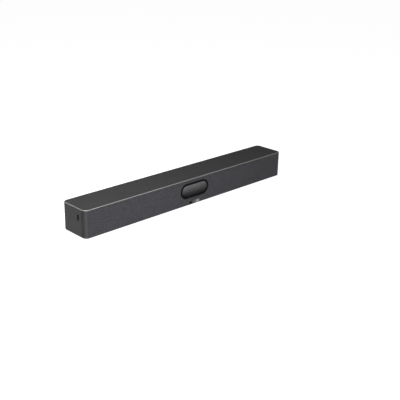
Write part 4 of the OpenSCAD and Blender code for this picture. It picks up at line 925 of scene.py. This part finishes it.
@dataclass
class SocketBay:
    """Contacts and collars in the sockets. Lengths are in millimetres.

    Depths count in from a socket's mouth.
    """

    bench: Workbench
    wire: Point = (0.5, 8.0, 0.35)
    wire_count: int = 8
    wire_pitch: float = 1.02
    wire_depth: float = 5.6
    wire_drop: float = 4.2
    wire_bevel: float = 0.12
    wire_tilt: float = -16.0
    strip_t: float = 0.06
    display_pitch: float = 20.0
    display_strip: Pair = (0.45, 7.5)
    display_rows: tuple[tuple[int, int], ...] = ((1, 10), (-1, 9))
    display_tongue: float = 0.62
    display_depth: float = 5.4
    data_strip: Pair = (1.0, 8.0)
    data_places: tuple[float, ...] = (-3.5, -1.0, 1.0, 3.5)
    data_tongue: float = 0.18
    data_depth: float = 6.5
    collar: tuple[Pair, ...] = ((1.85, -2.0), (1.85, 0.25), (2.1, 0.4), (2.9, 0.4), (3.1, 0.2), (3.1, 0.02),
                                (1.87, 0.02))
    pin: tuple[Pair, ...] = ((0.93, -6.0), (0.93, -0.8), (0.7, -0.4), (0.0, -0.25))
    pin_depth: float = 0.6

    def build(self) -> None:
        """Builds the contacts of every socket, and the collars."""
        self.bench.piece(self.network(), "lan_contacts", GOLD, "brass")
        self.bench.piece(self.display(), "hdmi_contacts", GOLD, "brass")
        self.bench.piece(self.data(), "usb_contacts", GOLD, "brass")
        self.bench.piece(self.collars(), "socket_collars", STEEL, "screw_steel")

    def network(self) -> Mesh:
        """Sprung wires under the roof of the network socket.

        Returns:
            The wires' mesh.
        """
        low, high = self.bench.box_mm("lan_socket")
        middle = (low.x + high.x) / 2
        tilt = Matrix.Rotation(math.radians(self.wire_tilt), 4, "X")
        parts = []
        for i in range(self.wire_count):
            x = middle + (i - (self.wire_count - 1) / 2) * self.wire_pitch
            centre = (x, high.y - self.wire_depth, high.z - self.wire_drop)
            parts.append(self.bench.slab(self.wire, centre, self.wire_bevel, tilt))
        return self.bench.together(parts)

    def display(self) -> Mesh:
        """Contact strips on both faces of each display socket's tongue.

        Returns:
            The strips' mesh.
        """
        low, high = self.bench.box_mm("hdmi_sockets")
        middle = (low.z + high.z) / 2
        half = (high.x - low.x - self.display_pitch) / 2
        width, length = self.display_strip
        parts = []
        for x in (low.x + half, high.x - half):
            for side, count in self.display_rows:
                for i in range(count):
                    centre = (x + i - (count - 1) / 2, high.y - self.display_depth,
                              middle + side * self.display_tongue)
                    parts.append(self.bench.slab((width, length, self.strip_t), centre))
        return self.bench.together(parts)

    def data(self) -> Mesh:
        """Four strips on the tongue of each larger data socket, at the back and in the left end.

        Returns:
            The strips' mesh.
        """
        width, length = self.data_strip
        low, high = self.bench.box_mm("usb_a_socket")
        x, z = (low.x + high.x) / 2, (low.z + high.z) / 2 + self.data_tongue
        parts = [self.bench.slab((width, length, self.strip_t), (x + place, high.y - self.data_depth, z))
                 for place in self.data_places]
        low, high = self.bench.box_mm("side_usb_socket")
        y, z = (low.y + high.y) / 2 + self.data_tongue, (low.z + high.z) / 2
        parts += [self.bench.slab((length, self.strip_t, width), (low.x + self.data_depth, y, z + place))
                  for place in self.data_places]
        return self.bench.together(parts)

    def collars(self) -> Mesh:
        """Metal collar of the audio socket and the tip of the power inlet's pin.

        Returns:
            The collars' mesh.
        """
        low, high = self.bench.box_mm("audio_socket")
        collar = self.bench.turned(self.collar, ((low.x + high.x) / 2, high.y, (low.z + high.z) / 2), 64)
        low, high = self.bench.box_mm("power_inlet")
        centre = ((low.x + high.x) / 2, high.y - self.pin_depth, (low.z + high.z) / 2)
        pin = self.bench.turned(self.pin, centre, 40, closed=False)
        return self.bench.together([collar, pin])


@dataclass
class Boards:
    """Small chips on the main board. Lengths are in millimetres."""

    bench: Workbench
    seed: int = 7
    places: int = 22
    margin: float = 8.0
    top_margin: float = 5.0
    face: float = 1.4
    chip_t: float = 0.9
    sunk: float = 0.44
    bevel: float = 0.1
    kept_clear: tuple[Pair, ...] = ((-1.0, 16.0), (26.0, 34.0), (54.0, 68.0))
    chips: tuple[Pair, ...] = ((3.0, 2.0), (2.0, 4.0), (5.0, 5.0), (1.6, 1.0))

    def build(self) -> None:
        """Builds small chips along the main board, clear of its larger parts."""
        pick = random.Random(self.seed)
        low, high = self.bench.box_mm("main_board")
        y = low.y + self.face - self.sunk
        parts = []
        for i in range(self.places):
            x = low.x + self.margin + i * (high.x - low.x - 2 * self.margin) / (self.places - 1)
            if any(start < abs(x) < end for start, end in self.kept_clear):
                continue
            width, height = pick.choice(self.chips)
            z = pick.uniform(low.z + self.margin, high.z - self.top_margin)
            parts.append(self.bench.slab((width, self.chip_t, height), (x, y, z), self.bevel))
        self.bench.piece(self.bench.together(parts), "board_parts", BLACK, "black_plastic")


@dataclass(frozen=True)
class Lamp:
    """A soft square lamp. Lengths are in metres."""

    name: str
    place: Point
    aim: Point
    size: float
    watts: float

    def build(self) -> None:
        """Puts the lamp into the scene."""
        data = bpy.data.lights.new(self.name, "AREA")
        data.shape = "SQUARE"
        data.size = self.size
        data.energy = self.watts
        obj = bpy.data.objects.new(self.name, data)
        bpy.context.scene.collection.objects.link(obj)
        obj.location = self.place
        obj.rotation_euler = (Vector(self.aim) - Vector(self.place)).to_track_quat("-Z", "Y").to_euler()


@dataclass
class Studio:
    """Floor, light and the photograph's camera. Lengths are in metres and angles in degrees.

    The wall's span gives the heights, as the Z of a ray, between which what gloss mirrors falls from white
    to the wall's shade.
    """

    azimuth: float = -44.862
    elevation: float = 21.30
    roll: float = 1.351
    focal_px: float = 712.4
    frame_px: float = 400.0
    sensor_mm: float = 36.0
    near: float = 0.01
    place: Point = (-1.1367, -1.2019, 0.6442)
    lamps: tuple[Lamp, ...] = (
        Lamp("key", (-0.42, -0.16, 0.66), (-0.25, 0.0, 0.05), 0.5, 5.1),
        Lamp("fill", (-0.35, -1.5, 0.6), (0.0, 0.0, 0.03), 1.0, 7.5),
    )
    floor_half: float = 12.0
    floor_z: float = -0.0002
    floor_grey: float = 0.80
    floor_lift: float = 0.85
    floor_mirrored: float = 0.3
    soft_light: float = 0.165
    wall_span: Pair = (0.04, 0.19)
    wall_shade: float = 0.08

    def build(self) -> None:
        """Builds the floor, the world, the lamps and the camera."""
        self.floor()
        self.world()
        for lamp in self.lamps:
            lamp.build()
        self.camera()

    def floor(self) -> None:
        """Pale floor that looks white to the camera and keeps a faint shadow."""
        bm = bmesh.new()
        bmesh.ops.create_grid(bm, x_segments=2, y_segments=2, size=self.floor_half)
        bmesh.ops.translate(bm, verts=bm.verts, vec=(0.0, 0.0, self.floor_z))
        mesh = bpy.data.meshes.new("floor")
        bm.to_mesh(mesh)
        bm.free()
        obj = bpy.data.objects.new("floor", mesh)
        bpy.context.scene.collection.objects.link(obj)
        material = bpy.data.materials.new("pale_floor")
        material.use_nodes = True
        graph = Graph(material.node_tree)
        grey = self.floor_grey
        diffuse = graph.add("ShaderNodeBsdfDiffuse", Color=(grey, grey, grey, 1.0))
        path = graph.add("ShaderNodeLightPath")
        mirrored = graph.times(path.outputs["Is Glossy Ray"], self.floor_mirrored)
        seen = graph.math("MAXIMUM", path.outputs["Is Camera Ray"], mirrored)
        lift = graph.times(seen, self.floor_lift)
        bright = graph.add("ShaderNodeEmission", Color=WHITE_LIGHT, Strength=lift)
        both = graph.add("ShaderNodeAddShader")
        graph.feed(both.inputs[0], diffuse.outputs[0])
        graph.feed(both.inputs[1], bright.outputs[0])
        graph.add("ShaderNodeOutputMaterial", Surface=both.outputs[0])
        mesh.materials.append(material)

    def world(self) -> None:
        """White for the camera, a wall that darkens upwards for gloss, and a soft light on the bar."""
        world = bpy.data.worlds.new("soft_room")
        bpy.context.scene.world = world
        world.use_nodes = True
        graph = Graph(world.node_tree)
        soft = graph.add("ShaderNodeBackground", Color=WHITE_LIGHT, Strength=self.soft_light)
        path = graph.add("ShaderNodeLightPath")
        ray = graph.axes(graph.add("ShaderNodeTexCoord").outputs["Generated"])
        wall = graph.ramp(ray[2], *self.wall_span, 1.0, self.wall_shade)
        camera = path.outputs["Is Camera Ray"]
        mirrored = graph.math("MAXIMUM", path.outputs["Is Glossy Ray"], path.outputs["Is Transmission Ray"])
        white = graph.math("MAXIMUM", camera, graph.times(mirrored, wall))
        backdrop = graph.add("ShaderNodeBackground", Color=WHITE_LIGHT, Strength=white)
        mixed = graph.add("ShaderNodeMixShader")
        graph.feed(mixed.inputs[0], graph.math("MAXIMUM", camera, mirrored))
        graph.feed(mixed.inputs[1], soft.outputs[0])
        graph.feed(mixed.inputs[2], backdrop.outputs[0])
        graph.add("ShaderNodeOutputWorld", Surface=mixed.outputs[0])

    def camera(self) -> None:
        """Sets the camera at the place and angle found from the photograph's edges."""
        a, e, r = (math.radians(v) for v in (self.azimuth, self.elevation, self.roll))
        ahead = -Vector((math.sin(a) * math.cos(e), -math.cos(a) * math.cos(e), math.sin(e)))
        right = ahead.cross(Vector((0.0, 0.0, 1.0))).normalized()
        up = right.cross(ahead)
        side = math.cos(r) * right + math.sin(r) * up
        top = math.cos(r) * up - math.sin(r) * right
        data = bpy.data.cameras.new("photo_camera")
        data.sensor_fit = "HORIZONTAL"
        data.sensor_width = self.sensor_mm
        data.lens = self.focal_px * self.sensor_mm / self.frame_px
        data.clip_start = self.near
        obj = bpy.data.objects.new("photo_camera", data)
        bpy.context.scene.collection.objects.link(obj)
        turn = Matrix((side, top, -ahead)).transposed().to_4x4()
        obj.matrix_world = Matrix.Translation(Vector(self.place)) @ turn
        bpy.context.scene.camera = obj


class Bar:
    """The whole bar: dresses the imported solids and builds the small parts."""

    def __init__(self) -> None:
        """Makes the finisher and the workbench."""
        self.finisher = Finisher()
        self.bench = Workbench(self.finisher)

    def dress(self, nodes: dict[str, bpy.types.Object]) -> None:
        """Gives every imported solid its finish.

        Args:
            nodes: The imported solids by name.
        """
        for name, obj in sorted(nodes.items()):
            material = self.finisher.material(NODE_FINISH[name])
            for slot in obj.material_slots:
                slot.material = material
            LOG.info("dressed %s: %s", name, material.name)

    def build(self) -> None:
        """Builds the cloth and the small parts in order."""
        for kind in (FrontCloth, LensUnit, SocketBay, Boards):
            kind(self.bench).build()
            LOG.info("built %s", kind.__name__)


def main() -> None:
    """Dresses the bar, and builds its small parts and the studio."""
    logging.basicConfig(level=logging.INFO, format="%(message)s")
    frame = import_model()
    bar = Bar()
    bar.dress(frame["nodes"])
    bar.build()
    Studio().build()
    scene = bpy.context.scene
    scene.view_settings.view_transform = "Standard"
    LOG.info("pieces made: %d", bar.bench.count)


if __name__ == "__main__":
    main()
